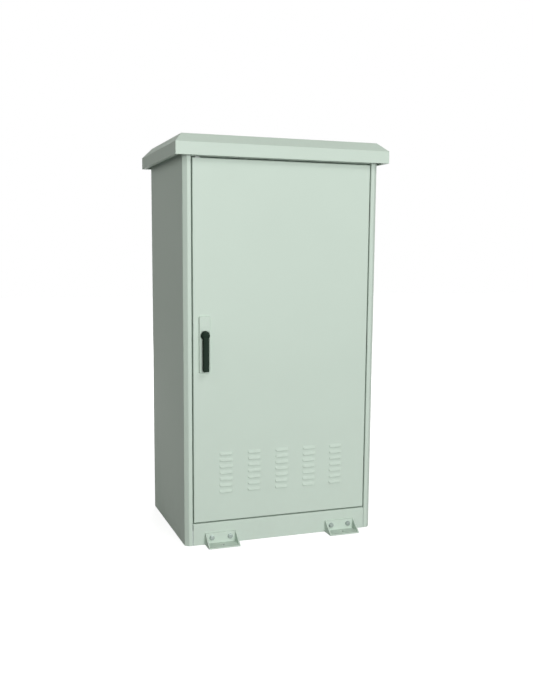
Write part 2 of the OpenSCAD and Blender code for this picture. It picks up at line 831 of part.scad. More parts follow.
// Hinge leaf on the frame, with a neck that reaches forward to the middle knuckle
module hinge_leaf(z) {
    half = hinge_h * knuckle_share / 2;
    base_half = hinge_screw_z + hinge_screw_head_r + 2;
    neck_x = [hinge_x - arm_right - arm_t, hinge_x - arm_right];
    screw_x = (neck_x[1] + jamb_x) / 2;
    color(zinc) translate([0, 0, z]) difference() {
        union() {
            rod_along_z(hinge_x, hinge_y, knuckle_r, -half, half);
            box([neck_x[0], hinge_y, -half], [neck_x[1], lip_y, half]);
            box([neck_x[0], lip_y - leaf_t, -base_half], [jamb_x - bend_r - seam, lip_y, base_half]);
        }
        rod_along_z(hinge_x, hinge_y, pin_r + run_gap, -half - far, half + far);
        for (k = [-1, 1])
            rod_along_y(screw_x, k * hinge_screw_z, hinge_screw_r + screw_gap,
                lip_y - leaf_t - far, lip_y + far);
    }
}

module hinge_leaf_low() {
    hinge_leaf(hinge_zs[0]);
}

module hinge_leaf_mid() {
    hinge_leaf(hinge_zs[1]);
}

module hinge_leaf_high() {
    hinge_leaf(hinge_zs[2]);
}

// Screws of the hinge leaves on the frame
module hinge_screws() {
    head_t = 2.6;
    leaf_y = lip_y - leaf_t;
    screw_x = (hinge_x - arm_right + jamb_x) / 2;
    color(zinc) for (z = hinge_zs, k = [-1, 1]) {
        rod_along_y(screw_x, z + k * hinge_screw_z, hinge_screw_r, leaf_y - far, lip_y);
        rod_along_y(screw_x, z + k * hinge_screw_z, hinge_screw_head_r, leaf_y - head_t, leaf_y);
    }
}

// Hinge pin with a head on the upper knuckle
module hinge_pin(z) {
    color(zinc) translate([hinge_x, hinge_y, z]) {
        translate([0, 0, -hinge_h / 2 - 2]) cylinder(r = pin_r, h = hinge_h + 2 + far);
        translate([0, 0, hinge_h / 2]) cylinder(r = pin_head_r, h = pin_head_t);
    }
}

module hinge_pin_low() {
    hinge_pin(hinge_zs[0]);
}

module hinge_pin_mid() {
    hinge_pin(hinge_zs[1]);
}

module hinge_pin_high() {
    hinge_pin(hinge_zs[2]);
}

// Hinge leaf on the door: a plate on the skin's back with the two outer knuckles
module door_leaf(z) {
    half = hinge_h / 2;
    gap_half = hinge_h * knuckle_share / 2 + screw_gap;
    color(zinc) translate([0, 0, z]) difference() {
        union() {
            rod_along_z(hinge_x, hinge_y, knuckle_r, -half, half);
            box([hinge_x - leaf_grip, skin_back, -half], [hinge_x, skin_back + leaf_t, half]);
        }
        box([hinge_x - knuckle_r - 2, skin_back - far, -gap_half],
            [hinge_x + knuckle_r + far, lip_y, gap_half]);
        rod_along_z(hinge_x, hinge_y, pin_r + run_gap, -half - far, half + far);
    }
}

module door_leaf_low() {
    door_leaf(hinge_zs[0]);
}

module door_leaf_mid() {
    door_leaf(hinge_zs[1]);
}

module door_leaf_high() {
    door_leaf(hinge_zs[2]);
}

// Slot for a lock rod where it leaves the door or enters the frame: side is -1 upper rod, 1 lower rod
module rod_slot(side, z0, z1) {
    x = lock_x + side * (rod_side + rod_w / 2);
    half = rod_w / 2 + rod_gap;
    box([x - half, rod_y - rod_gap, z0], [x + half, rod_y + rod_t + rod_gap, z1]);
}

// Outside of the door with rounded front edges
module door_form() {
    intersection() {
        translate([0, 0, door_z0]) linear_extrude(door_z1 - door_z0) polygon(rounded_outline(
            [[-door_x, front_y], [door_x, front_y], [door_x, door_back], [-door_x, door_back]],
            [door_edge_r, door_edge_r, 0, 0]));
        along_x(door_w) polygon(rounded_outline(
            [[front_y, door_z1], [front_y, door_z0], [door_back, door_z0], [door_back, door_z1]],
            [door_edge_r, door_edge_r, 0, 0]));
    }
}

// Hood of one louvre, swept out to its open lower edge: d moves it in from its outer face, and it
// reaches back to y1 and down to low
module louvre_form(d, y1, low) {
    out = louvre_out - d;
    top = louvre_h - 3 * d;
    end = louvre_l / 2 - d;
    run = louvre_h * 0.6;
    steps = 5;
    sweep = [for (k = [0:steps]) [-out * pow(1 - k / steps, 1.5), top * k / steps]];
    tip = quarter(run, out);
    intersection() {
        along_x(louvre_l) polygon(concat([[y1, low], [-out, low]], sweep, [[y1, top]]));
        translate([0, 0, low - far]) linear_extrude(louvre_h + 2 * far) polygon(concat(
            [[end, y1], [-end, y1]],
            [for (p = reversed(tip)) [-end + run - p.x, -p.y]],
            [for (p = tip) [end - run + p.x, -p.y]]));
    }
}

// Places of the louvres' open edges
function louvre_places() = [for (i = [0:louvre_cols - 1], j = [0:louvre_rows - 1])
    [(i - (louvre_cols - 1) / 2) * louvre_dx, door_z0 + louvre_z + j * louvre_dz]];

// Door tray with its louvres, hinge windows, rod slots and lock hole
module door_panel() {
    open_x = door_x - door_flange;
    window_half = hinge_h / 2 + window_end;
    color(paint) difference() {
        union() {
            door_form();
            for (p = louvre_places())
                translate([p.x, front_y, p.y]) louvre_form(0, door_t / 2, 0);
        }
        box([-door_x + door_t, skin_back, door_z0 + door_t],
            [door_x - door_t, door_back - door_t, door_z1 - door_t]);
        box([-open_x, skin_back, door_z0 + door_flange], [open_x, door_back + far, door_z1 - door_flange]);
        for (p = louvre_places())
            translate([p.x, front_y, p.y]) louvre_form(louvre_t, door_t + far, -0.5);
        for (z = hinge_zs)
            box([door_x - gasket_in, skin_back + bend_r, z - window_half],
                [door_x + far, door_back + far, z + window_half]);
        rod_slot(-1, door_z1 - door_t - far, door_z1 + far);
        rod_slot(1, door_z0 - far, door_z0 + door_t + far);
        rod_along_y(lock_x, handle_z, sleeve_r + screw_gap, front_y - far, skin_back + far);
    }
}

// Hat-section stiffener on the back of the door's skin, from the filter to the tray's flange
module stiffener(x) {
    d = door_depth - 2 * door_t - stiffener_t / 2;
    crown = stiffener_w / 2 - d / 4;
    path = [
        [x + stiffener_w / 2 + stiffener_foot, skin_back],
        [x + stiffener_w / 2, skin_back],
        [x + crown, skin_back + d],
        [x - crown, skin_back + d],
        [x - stiffener_w / 2, skin_back],
        [x - stiffener_w / 2 - stiffener_foot, skin_back]
    ];
    z0 = filter_top + 3 * stiffener_end;
    z1 = door_z1 - door_flange - stiffener_end;
    color(paint) translate([0, 0, z0]) linear_extrude(z1 - z0)
        polygon(folded(moved_left(path, -stiffener_t), stiffener_t));
}

module door_stiffener_left() {
    stiffener(-stiffener_x);
}

module door_stiffener_right() {
    stiffener(stiffener_x);
}

// Foam gasket on the back of the door's flange
module door_gasket() {
    w = door_w - 2 * gasket_in;
    h = door_z1 - door_z0 - 2 * gasket_in;
    mid = (door_z0 + door_z1) / 2;
    color(foam) along_y(door_back, door_back + gasket_t) translate([0, mid]) difference() {
        polygon(round_rect(w, h, 4));
        polygon(round_rect(w - 2 * gasket_w, h - 2 * gasket_w, 2));
    }
}

// Frame that holds the filter pad behind the louvres
module filter_frame() {
    t = filter_sheet;
    h = filter_top - filter_low;
    mid = (filter_top + filter_low) / 2;
    color(zinc) difference() {
        along_y(skin_back, skin_back + filter_t + t) translate([0, mid]) square([filter_w, h], center = true);
        along_y(skin_back - far, skin_back + filter_t) translate([0, mid])
            square([filter_w - 2 * t, h - 2 * t], center = true);
        for (i = [-2:2])
            along_y(skin_back, skin_back + filter_t + t + far) translate([i * filter_w / 5, mid])
                square([filter_w / 5 - filter_rim, h - 2 * filter_rim], center = true);
    }
}

// Air filter pad
module filter_pad() {
    inset = 2 * filter_sheet;
    color(felt) along_y(skin_back + screw_gap, skin_back + filter_t)
        translate([0, (filter_top + filter_low) / 2])
            square([filter_w - 2 * inset, filter_top - filter_low - 2 * inset], center = true);
}

// Raised escutcheon with a recess behind the lever and a threaded sleeve through the door
module lock_escutcheon() {
    mid_z = handle_z - escutcheon_low + escutcheon_h / 2;
    recess_top = handle_z + boss_r;
    recess_low = handle_z - escutcheon_low + recess_rim;
    color(paint) difference() {
        union() {
            along_y(escutcheon_y + escutcheon_round, front_y) translate([lock_x, mid_z])
                polygon(round_rect(escutcheon_w, escutcheon_h, escutcheon_r));
            hull() {
                along_y(escutcheon_y + escutcheon_round, escutcheon_y + escutcheon_round + 0.1)
                    translate([lock_x, mid_z]) polygon(round_rect(escutcheon_w, escutcheon_h, escutcheon_r));
                along_y(escutcheon_y, escutcheon_y + 0.1) translate([lock_x, mid_z]) polygon(round_rect(
                    escutcheon_w - 2 * escutcheon_round, escutcheon_h - 2 * escutcheon_round,
                    escutcheon_r - escutcheon_round));
            }
            rod_along_y(lock_x, handle_z, sleeve_r, front_y - far, skin_back + nut_t + 1);
        }
        along_y(escutcheon_y - far, escutcheon_y + recess_t)
            translate([lock_x, (recess_top + recess_low) / 2]) polygon(round_rect(
                escutcheon_w - 2 * recess_rim, recess_top - recess_low, escutcheon_r - 2));
        rod_along_y(lock_x, handle_z, spindle_r + run_gap, escutcheon_y - far, skin_back + nut_t + 2);
    }
}

// Hexagon nut that clamps the escutcheon from behind
module lock_nut() {
    color(zinc) difference() {
        hex_along_y(lock_x, handle_z, nut_r, skin_back, skin_back + nut_t);
        rod_along_y(lock_x, handle_z, sleeve_r + run_gap, skin_back - far, skin_back + nut_t + far);
    }
}

// Guides that carry the lock rods on the door's skin
function guide_places() = [
    [-1, handle_z + guide_lock], [-1, door_z1 - guide_end],
    [1, handle_z - guide_lock], [1, door_z0 + guide_end]
];

module rod_guides() {
    half = rod_w / 2 + guide_wall;
    back = rod_y + rod_t + rod_gap + guide_wall * 0.4;
    color(black) for (g = guide_places()) difference() {
        translate([lock_x + g.x * (rod_side + rod_w / 2), 0, g.y])
            box([-half, skin_back, -guide_h / 2], [half, back, guide_h / 2]);
        rod_slot(g.x, g.y - guide_h, g.y + guide_h);
    }
}

// Radius of the tapered boss at the plane y
function boss_radius(y) =
    boss_r + (boss_front_r - boss_r) * (boss_y - boss_base_t - y) / (boss_out - boss_base_t);

// Boss on its spindle, narrower to the front, with a slot for the lever and a hood over the lever's eye
module handle_hub() {
    slot_w = lever_w + 2 * lever_gap;
    profile = concat(
        [[0, 0], [boss_r, 0], [boss_r, boss_base_t]],
        bend([boss_r, boss_base_t], [boss_front_r, boss_out], [0, boss_out], boss_round),
        [[0, boss_out]]
    );
    color(black) difference() {
        union() {
            translate([lock_x, boss_y, handle_z]) rotate([90, 0, 0]) rotate_extrude() polygon(profile);
            rod_along_y(lock_x, handle_z, spindle_r, boss_y - far, crank_y + crank_t);
        }
        box([lock_x - slot_w / 2, boss_front - far, handle_z - boss_r - far],
            [lock_x + slot_w / 2, boss_y - boss_base_t, lever_pin_z + lever_hood]);
        translate([lock_x - slot_w / 2, lever_pin_y, lever_pin_z]) rotate([0, 90, 0])
            cylinder(r = lever_eye_r + screw_gap, h = slot_w);
        translate([lock_x - boss_r - far, lever_pin_y, lever_pin_z]) rotate([0, 90, 0])
            cylinder(r = lever_pin_r + run_gap, h = 2 * boss_r + 2 * far);
        rod_along_y(lock_x, handle_z, hinge_screw_r + run_gap, crank_y + crank_t - crank_screw_l - far,
            crank_y + crank_t + far);
    }
}

// Crank plate on the spindle with the two pins that drive the rods
module crank_plate() {
    color(zinc) difference() {
        union() {
            rod_along_y(lock_x, handle_z, crank_plate_r, crank_y, crank_y + crank_t);
            for (s = [-1, 1])
                rod_along_y(lock_x + s * crank_drop, handle_z - s * crank_drop, crank_pin_r,
                    crank_y + crank_t - far, rod_y + rod_t + 0.4);
        }
        rod_along_y(lock_x, handle_z, spindle_r + run_gap, crank_y - far, crank_y + crank_t + far);
    }
}

// Screw with a washer head that keeps the crank plate on its spindle
module crank_screw() {
    color(zinc) {
        rod_along_y(lock_x, handle_z, hinge_screw_r, crank_y + crank_t - crank_screw_l,
            crank_y + crank_t + far);
        rod_along_y(lock_x, handle_z, rod_foot_in - 0.8, crank_y + crank_t, crank_y + crank_t + 2.5);
    }
}

// Cross pin on which the lever lifts
module lever_pin() {
    around = boss_radius(lever_pin_y - lever_pin_r);
    below = handle_z - lever_pin_z + lever_pin_r;
    reach = sqrt(pow(around, 2) - pow(below, 2));
    color(zinc) translate([lock_x - reach, lever_pin_y, lever_pin_z]) rotate([0, 90, 0])
        cylinder(r = lever_pin_r, h = 2 * reach);
}

// Lever: an eye in the boss's slot and a grip that hangs in front of the escutcheon
module lever() {
    neck_back = boss_y - boss_base_t - lever_gap;
    grip_back = escutcheon_y - 2 * lever_gap;
    shoulder_z = handle_z - boss_r - 2 * lever_gap;
    end_z = handle_z - lever_l;
    front_foot = [lever_front, end_z];
    back_foot = [grip_back, end_z];
    side = concat(
        [for (a = [0:15:180 + lever_lift]) [lever_pin_y, lever_pin_z] + lever_eye_r * [cos(a), sin(a)]],
        [[lever_front, lever_pin_z - lever_eye_r]],
        bend([lever_front, lever_pin_z], front_foot, back_foot, lever_round),
        bend(front_foot, back_foot, [grip_back, shoulder_z], lever_round),
        [[grip_back, shoulder_z - 1.5], [neck_back, shoulder_z]]
    );
    front = rounded_outline([
            [-lever_w / 2, end_z], [lever_w / 2, end_z], [lever_w / 2, handle_z + boss_r],
            [-lever_w / 2, handle_z + boss_r]
        ], [lever_round, lever_round, 0, 0]);
    plan = rounded_outline([
            [-lever_w / 2, lever_front], [lever_w / 2, lever_front], [lever_w / 2, grip_back + far],
            [-lever_w / 2, grip_back + far]
        ], [lever_round, lever_round, 0, 0]);
    color(black) difference() {
        intersection() {
            along_x(lever_w, lock_x) polygon(side);
            translate([lock_x, 0, 0]) along_y(lever_front, grip_back + far) polygon(front);
            translate([lock_x, 0, end_z]) linear_extrude(lever_l + boss_r) polygon(plan);
        }
        translate([lock_x - lever_w, lever_pin_y, lever_pin_z]) rotate([0, 90, 0])
            cylinder(r = lever_pin_r + run_gap, h = 2 * lever_w);
    }
}

// Flat lock rod with a slotted foot on the crank's pin: side is -1 upper rod, 1 lower rod
module lock_rod(side, tip) {
    pin_z = handle_z - side * crank_drop;
    foot = pin_z + side * rod_foot_h;
    x0 = lock_x + side * rod_side;
    x1 = x0 + side * rod_w;
    inner = lock_x + side * rod_foot_in;
    slot_half = crank_pin_r + rod_slot_gap;
    color(zinc) difference() {
        union() {
            box([min(x0, x1), rod_y, min(foot, tip)], [max(x0, x1), rod_y + rod_t, max(foot, tip)]);
            box([min(inner, x1), rod_y, pin_z - rod_foot_h],
                [max(inner, x1), rod_y + rod_t, pin_z + rod_foot_h]);
        }
        box([min(inner - side * far, lock_x + side * (crank_r + slot_half)), rod_y - far, pin_z - slot_half],
            [max(inner - side * far, lock_x + side * (crank_r + slot_half)), rod_y + rod_t + far,
                pin_z + slot_half]);
    }
}

module upper_rod() {
    lock_rod(-1, door_z1 + rod_throw - screw_gap);
}

module lower_rod() {
    lock_rod(1, door_z0 - rod_throw + screw_gap);
}

left_side_wall();
right_side_wall();
rear_panel();
rear_panel_screws();
front_plinth();
front_header();
top_plate();
roof_canopy();
roof_spacers();
roof_bolts();
base_frame();
floor_plate();
gland_plate();
gland_screws();
cable_grommets();
bracket_front_left();
bracket_front_right();
bracket_rear_left();
bracket_rear_right();
bracket_bolts();
bracket_nuts();
rail_front_left();
rail_front_right();
rail_rear_left();
rail_rear_right();
rail_screws();
earth_bar();
earth_bar_stands();
hinge_leaf_low();
hinge_leaf_mid();
hinge_leaf_high();
hinge_screws();
hinge_pin_low();
hinge_pin_mid();
hinge_pin_high();
door_panel();
door_stiffener_left();
door_stiffener_right();
door_gasket();
filter_frame();
filter_pad();
door_leaf_low();
door_leaf_mid();
door_leaf_high();
lock_escutcheon();
lock_nut();
rod_guides();
handle_hub();
crank_plate();
crank_screw();
lever_pin();
lever();
upper_rod();
lower_rod();
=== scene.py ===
"""Looks of a roadside utility cabinet: finishes, welds, seal, fleece, terminal screws, studio and camera."""
import logging
import math
from dataclasses import dataclass
from enum import Enum
from typing import Iterable, Optional, Sequence

import bpy
from mathutils import Matrix, Vector, noise


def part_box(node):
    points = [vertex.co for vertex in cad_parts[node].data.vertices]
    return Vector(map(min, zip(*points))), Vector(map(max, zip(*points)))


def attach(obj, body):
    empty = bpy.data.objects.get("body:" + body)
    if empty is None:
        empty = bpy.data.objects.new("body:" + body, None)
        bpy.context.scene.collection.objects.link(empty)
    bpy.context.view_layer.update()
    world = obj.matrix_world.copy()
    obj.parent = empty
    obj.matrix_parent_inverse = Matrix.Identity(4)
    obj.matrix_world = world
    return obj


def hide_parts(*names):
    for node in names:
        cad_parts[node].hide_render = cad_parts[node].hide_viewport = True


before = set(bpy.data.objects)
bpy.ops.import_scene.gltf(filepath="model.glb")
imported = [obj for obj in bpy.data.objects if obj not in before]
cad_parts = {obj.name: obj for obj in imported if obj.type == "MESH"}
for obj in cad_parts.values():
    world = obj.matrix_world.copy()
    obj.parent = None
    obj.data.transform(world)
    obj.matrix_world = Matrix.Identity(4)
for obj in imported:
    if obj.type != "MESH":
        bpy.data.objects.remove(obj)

LOG = logging.getLogger("cabinet")
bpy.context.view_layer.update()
PHOTO_LONG_SIDE = 689
SENSOR_MM = 36.0
WHITE = (1.0, 1.0, 1.0, 1.0)
QUARTER_TURN = math.pi / 2
Colour = tuple[float, float, float, float]
Point = tuple[float, float, float]
Socket = bpy.types.NodeSocket
Sockets = bpy.types.bpy_prop_collection


class Body(Enum):
    """Bodies of the cabinet that a piece can ride on."""

    CABINET = "cabinet"
    DOOR = "door"


class Axis(Enum):
    """Direction of a brushed grain, as the stretch of its noise along X, Y and Z."""

    X = (0.04, 1.0, 1.0)
    Z = (1.0, 1.0, 0.04)


def linear(red: int, green: int, blue: int) -> Colour:
    """Turn an 8-bit display colour into the linear colour that shaders take.

    Args:
        red: Red, 0 to 255.
        green: Green, 0 to 255.
        blue: Blue, 0 to 255.

    Returns:
        Linear red, green, blue and an alpha of 1.
    """
    def channel(value: int) -> float:
        """Return one channel as linear light."""
        share = value / 255.0
        return share / 12.92 if share <= 0.04045 else ((share + 0.055) / 1.055) ** 2.4

    return channel(red), channel(green), channel(blue), 1.0


def place_object(name: str, data: bpy.types.ID) -> bpy.types.Object:
    """Make an object from its data and put it in the scene."""
    made = bpy.data.objects.new(name, data)
    bpy.context.scene.collection.objects.link(made)
    return made


class NodeSheet:
    """Short calls that add and link the nodes of one tree."""

    def __init__(self, tree: bpy.types.NodeTree) -> None:
        """Keep the tree that nodes go into."""
        self.tree = tree

    def feed(self, node: bpy.types.Node, values: dict) -> None:
        """Fill a node's inputs.

        Args:
            node: Node to fill.
            values: Input sockets, by name or number, and what they hold: a value or an output to link.
        """
        for key, value in values.items():
            if isinstance(value, Socket):
                self.tree.links.new(value, node.inputs[key])
            else:
                node.inputs[key].default_value = value

    def add(self, kind: str, values: Optional[dict] = None, **settings: object) -> bpy.types.Node:
        """Add a node.

        Args:
            kind: Node type name.
            values: Inputs, as feed takes them.
            settings: Properties of the node.

        Returns:
            The new node.
        """
        node = self.tree.nodes.new(kind)
        for name, value in settings.items():
            setattr(node, name, value)
        self.feed(node, values or {})
        return node

    def math(self, operation: str, first: object, second: object = 0.0) -> Socket:
        """Add a Math node and return its output."""
        return self.add("ShaderNodeMath", {0: first, 1: second}, operation=operation).outputs[0]

    def times(self, first: object, second: object) -> Socket:
        """Return a product."""
        return self.math("MULTIPLY", first, second)

    def ramp(self, value: object, low: object, high: object, soft: bool = False) -> Socket:
        """Return a value spread so that low becomes 0 and high becomes 1, with soft ends if asked."""
        values = {"Value": value, "From Min": low, "From Max": high}
        kind = "SMOOTHSTEP" if soft else "LINEAR"
        return self.add("ShaderNodeMapRange", values, interpolation_type=kind).outputs["Result"]

    def blend(self, factor: object, first: object, second: object) -> Socket:
        """Return a colour mixed from two by a factor."""
        factor_in, first_in, second_in, colour_out = 0, 6, 7, 2
        values = {factor_in: factor, first_in: first, second_in: second}
        return self.add("ShaderNodeMix", values, data_type="RGBA").outputs[colour_out]

    def wash(self, tone: object, colour: Colour, mask: object, share: float) -> Socket:
        """Return a tone with a share of another colour laid on where a mask is 1."""
        return self.blend(self.times(mask, share), tone, colour)

    def lift(self, value: object, mask: object, amount: float) -> Socket:
        """Return a value raised by an amount where a mask is 1."""
        return self.math("ADD", value, self.times(mask, amount))

    def noise(self, place: object, scale: object, detail: float = 2.0) -> Socket:
        """Return a noise value on the given coordinates."""
        values = {"Vector": place, "Scale": scale, "Detail": detail}
        return self.add("ShaderNodeTexNoise", values).outputs[0]

    def patches(self, scale: float, low: float, high: float, detail: float = 4.0) -> Socket:
        """Return soft patches over the piece, 0 where the noise is below low and 1 where it is above high."""
        return self.ramp(self.noise(self.place(), scale, detail), low, high)

    def bump(self, height: object, depth: float, normal: object) -> Socket:
        """Return a normal with a relief of some depth, in metres, on top of another normal."""
        values = {"Height": height, "Distance": depth, "Strength": 1.0, "Normal": normal}
        return self.add("ShaderNodeBump", values).outputs[0]

    def place(self) -> Socket:
        """Return the object coordinates."""
        return self.add("ShaderNodeTexCoord").outputs["Object"]

    def vector(self, **parts: object) -> Socket:
        """Return a vector from its X, Y and Z, 0 where one is left out."""
        return self.add("ShaderNodeCombineXYZ", parts).outputs[0]

    def parts(self, vector: object) -> Sockets:
        """Return the X, Y and Z outputs of a vector."""
        return self.add("ShaderNodeSeparateXYZ", {0: vector}).outputs


class EffectGroup:
    """A shader node group with named inputs and outputs, built once and used by several finishes."""

    name = "effect"
    inputs: Sequence[tuple[str, str, object]] = ()
    outputs: Sequence[tuple[str, str]] = ()

    @classmethod
    def tree(cls) -> bpy.types.NodeTree:
        """Return the group's tree, built on first use."""
        made = bpy.data.node_groups.get(cls.name)
        if made is not None:
            return made
        tree = bpy.data.node_groups.new(cls.name, "ShaderNodeTree")
        for name, kind, value in cls.inputs:
            socket = tree.interface.new_socket(name, in_out="INPUT", socket_type=kind)
            socket.default_value = value
        for name, kind in cls.outputs:
            tree.interface.new_socket(name, in_out="OUTPUT", socket_type=kind)
        sheet = NodeSheet(tree)
        given = sheet.add("NodeGroupInput").outputs
        sheet.feed(sheet.add("NodeGroupOutput"), cls.fill(sheet, given))
        return tree

    @classmethod
    def fill(cls, sheet: NodeSheet, given: Sockets) -> dict:
        """Add the group's own nodes.

        Args:
            sheet: Sheet of the group's tree.
            given: Output sockets of the group's input node.

        Returns:
            What goes to each of the group's outputs, by name.
        """
        raise NotImplementedError

    @classmethod
    def use(cls, sheet: NodeSheet, **values: object) -> Sockets:
        """Place the group in a material, with inputs given by name, and return its outputs."""
        return sheet.add("ShaderNodeGroup", values, node_tree=cls.tree()).outputs


class SoftEdges(EffectGroup):
    """Rounded normals at folded and cut edges, and a mask of those edges."""

    name = "soft_edges"
    inputs = (("Radius", "NodeSocketFloat", 0.0012),)
    outputs = (("Normal", "NodeSocketVector"), ("Edge", "NodeSocketFloat"))
    samples = 6
    flat, sharp = 0.995, 0.75

    @classmethod
    def fill(cls, sheet: NodeSheet, given: Sockets) -> dict:
        """Compare the bevelled normal with the true one."""
        bevel = sheet.add("ShaderNodeBevel", {"Radius": given["Radius"]}, samples=cls.samples).outputs[0]
        true = sheet.add("ShaderNodeNewGeometry").outputs["True Normal"]
        dot = sheet.add("ShaderNodeVectorMath", {0: bevel, 1: true}, operation="DOT_PRODUCT").outputs["Value"]
        return {"Normal": bevel, "Edge": sheet.ramp(dot, cls.flat, cls.sharp)}


class CoatGrain(EffectGroup):
    """Orange peel of a sprayed and baked coat, with a faint drift of tone over the sheet."""

    name = "coat_grain"
    inputs = (("Grain", "NodeSocketFloat", 700.0), ("Drift", "NodeSocketFloat", 2.5))
    outputs = (("Height", "NodeSocketFloat"), ("Tone", "NodeSocketFloat"))
    fine_grain, fine_share = 2600.0, 0.35
    tone_low, tone_high = 0.3, 0.7

    @classmethod
    def fill(cls, sheet: NodeSheet, given: Sockets) -> dict:
        """Mix a coarse and a fine noise for the peel, and a wide one for the tone."""
        place = sheet.place()
        peel = sheet.noise(place, given["Grain"], detail=1.0)
        fine = sheet.noise(place, cls.fine_grain, detail=1.0)
        drift = sheet.noise(place, given["Drift"], detail=3.0)
        tone = sheet.ramp(drift, cls.tone_low, cls.tone_high)
        return {"Height": sheet.lift(peel, fine, cls.fine_share), "Tone": tone}


class Dust(EffectGroup):
    """Settled dust: more on faces that look up and towards the ground."""

    name = "dust"
    inputs = (("Low", "NodeSocketFloat", 0.0), ("High", "NodeSocketFloat", 0.35))
    outputs = (("Mask", "NodeSocketFloat"),)
    ground_share = 0.6
    up_low, up_high = 0.5, 1.0
    patch_scale, patch_low, patch_high = 38.0, 0.35, 0.75

    @classmethod
    def fill(cls, sheet: NodeSheet, given: Sockets) -> dict:
        """Join a height fade, an upward fade and a broken noise."""
        fade = sheet.ramp(sheet.parts(sheet.place())["Z"], given["High"], given["Low"])
        normal = sheet.add("ShaderNodeNewGeometry").outputs["Normal"]
        up = sheet.ramp(sheet.parts(normal)["Z"], cls.up_low, cls.up_high)
        both = sheet.math("MAXIMUM", sheet.times(fade, cls.ground_share), up)
        broken = sheet.patches(cls.patch_scale, cls.patch_low, cls.patch_high, detail=5.0)
        return {"Mask": sheet.times(both, broken)}


class Brushed(EffectGroup):
    """Drawn or ground grain along one direction."""

    name = "brushed"
    inputs = (("Stretch", "NodeSocketVector", Axis.Z.value), ("Grain", "NodeSocketFloat", 900.0))
    outputs = (("Height", "NodeSocketFloat"),)

    @classmethod
    def fill(cls, sheet: NodeSheet, given: Sockets) -> dict:
        """Stretch a noise along the grain."""
        values = {0: sheet.place(), 1: given["Stretch"]}
        stretched = sheet.add("ShaderNodeVectorMath", values, operation="MULTIPLY").outputs[0]
        return {"Height": sheet.noise(stretched, given["Grain"], detail=3.0)}


@dataclass(frozen=True)
class Finish:
    """A finish of one material slot.

    In the finishes below, a tone is a factor on the base colour, a share runs from 0 to 1, a scale is a count
    in a metre, a rough value is added roughness, and a relief is a depth in metres.

    Attributes:
        name: Name of the material.
        colour: Linear base colour.
        roughness: Middle roughness.
        edge: Radius in metres of the soft edge shown in the shading.
    """

    name: str
    colour: Colour
    roughness: float = 0.5
    edge: float = 0.0008

    def material(self) -> bpy.types.Material:
        """Return the finish's material, built on first use."""
        made = bpy.data.materials.get(self.name)
        if made is not None:
            return made
        made = bpy.data.materials.new(self.name)
        made.use_nodes = True
        made.diffuse_color = self.colour
        sheet = NodeSheet(made.node_tree)
        edges = SoftEdges.use(sheet, Radius=self.edge)
        sheet.feed(made.node_tree.nodes["Principled BSDF"], self.sockets(sheet, edges))
        return made

    def sockets(self, sheet: NodeSheet, edges: Sockets) -> dict:
        """Add this finish's nodes.

        Args:
            sheet: Sheet of the material.
            edges: Outputs of the material's soft edges.

        Returns:
            What goes to the shader's inputs, by name.
        """
        raise NotImplementedError

    def shade(self, factor: float) -> Colour:
        """Return the base colour made darker or lighter by a factor."""
        red, green, blue, alpha = self.colour
        return red * factor, green * factor, blue * factor, alpha


@dataclass(frozen=True)
class PowderCoat(Finish):
    """Satin polyester powder coat on folded sheet."""

    peel_relief: float = 0.000012
    dust_share: float = 0.10
    dust_colour: Colour = linear(176, 176, 166)
    dust_rough: float = 0.12
    drift_share: float = 0.015
    drift_rough: float = 0.04
    edge_highlight_share: float = 0.25
    edge_highlight_tone: float = 1.1
    gloss: float = 0.25

    def sockets(self, sheet: NodeSheet, edges: Sockets) -> dict:
        """Tone drift, thin dust, a painted highlight that makes the edges slightly lighter, and orange peel.
        """
        grain = CoatGrain.use(sheet)
        dust = Dust.use(sheet)["Mask"]
        dark, light = self.shade(1.0 - self.drift_share), self.shade(1.0 + self.drift_share)
        tone = sheet.blend(grain["Tone"], dark, light)
        # Painted highlight: every edge is painted slightly lighter.
        tone = sheet.wash(tone, self.shade(self.edge_highlight_tone), edges["Edge"], self.edge_highlight_share)
        tone = sheet.wash(tone, self.dust_colour, dust, self.dust_share)
        rough = sheet.lift(self.roughness, dust, self.dust_rough)
        rough = sheet.lift(rough, grain["Tone"], self.drift_rough)
        normal = sheet.bump(grain["Height"], self.peel_relief, edges["Normal"])
        return {"Base Color": tone, "Roughness": rough, "Specular IOR Level": self.gloss, "Normal": normal}


@dataclass(frozen=True)
class Galvanised(Finish):
    """Hot-dip galvanised sheet with its spangle."""

    spangle_scale: float = 95.0
    dark_tone: float = 0.82
    light_tone: float = 1.1
    cell_rough: float = 0.14
    haze_scale: float = 12.0
    haze_share: float = 0.35
    haze_tone: float = 0.78
    metal: float = 0.85
    relief: float = 0.00001

    def sockets(self, sheet: NodeSheet, edges: Sockets) -> dict:
        """Cells of slightly different tone and gloss, with a thin haze."""
        values = {"Vector": sheet.place(), "Scale": self.spangle_scale, "Randomness": 1.0}
        cells = sheet.add("ShaderNodeTexVoronoi", values).outputs
        flake = sheet.add("ShaderNodeSeparateColor", {0: cells["Color"]}).outputs[0]
        haze = sheet.patches(self.haze_scale, low=0.3, high=0.75)
        tone = sheet.blend(flake, self.shade(self.dark_tone), self.shade(self.light_tone))
        tone = sheet.wash(tone, self.shade(self.haze_tone), haze, self.haze_share)
        rough = sheet.lift(self.roughness, flake, self.cell_rough)
        normal = sheet.bump(cells["Distance"], self.relief, edges["Normal"])
        return {"Base Color": tone, "Metallic": self.metal, "Roughness": rough, "Normal": normal}


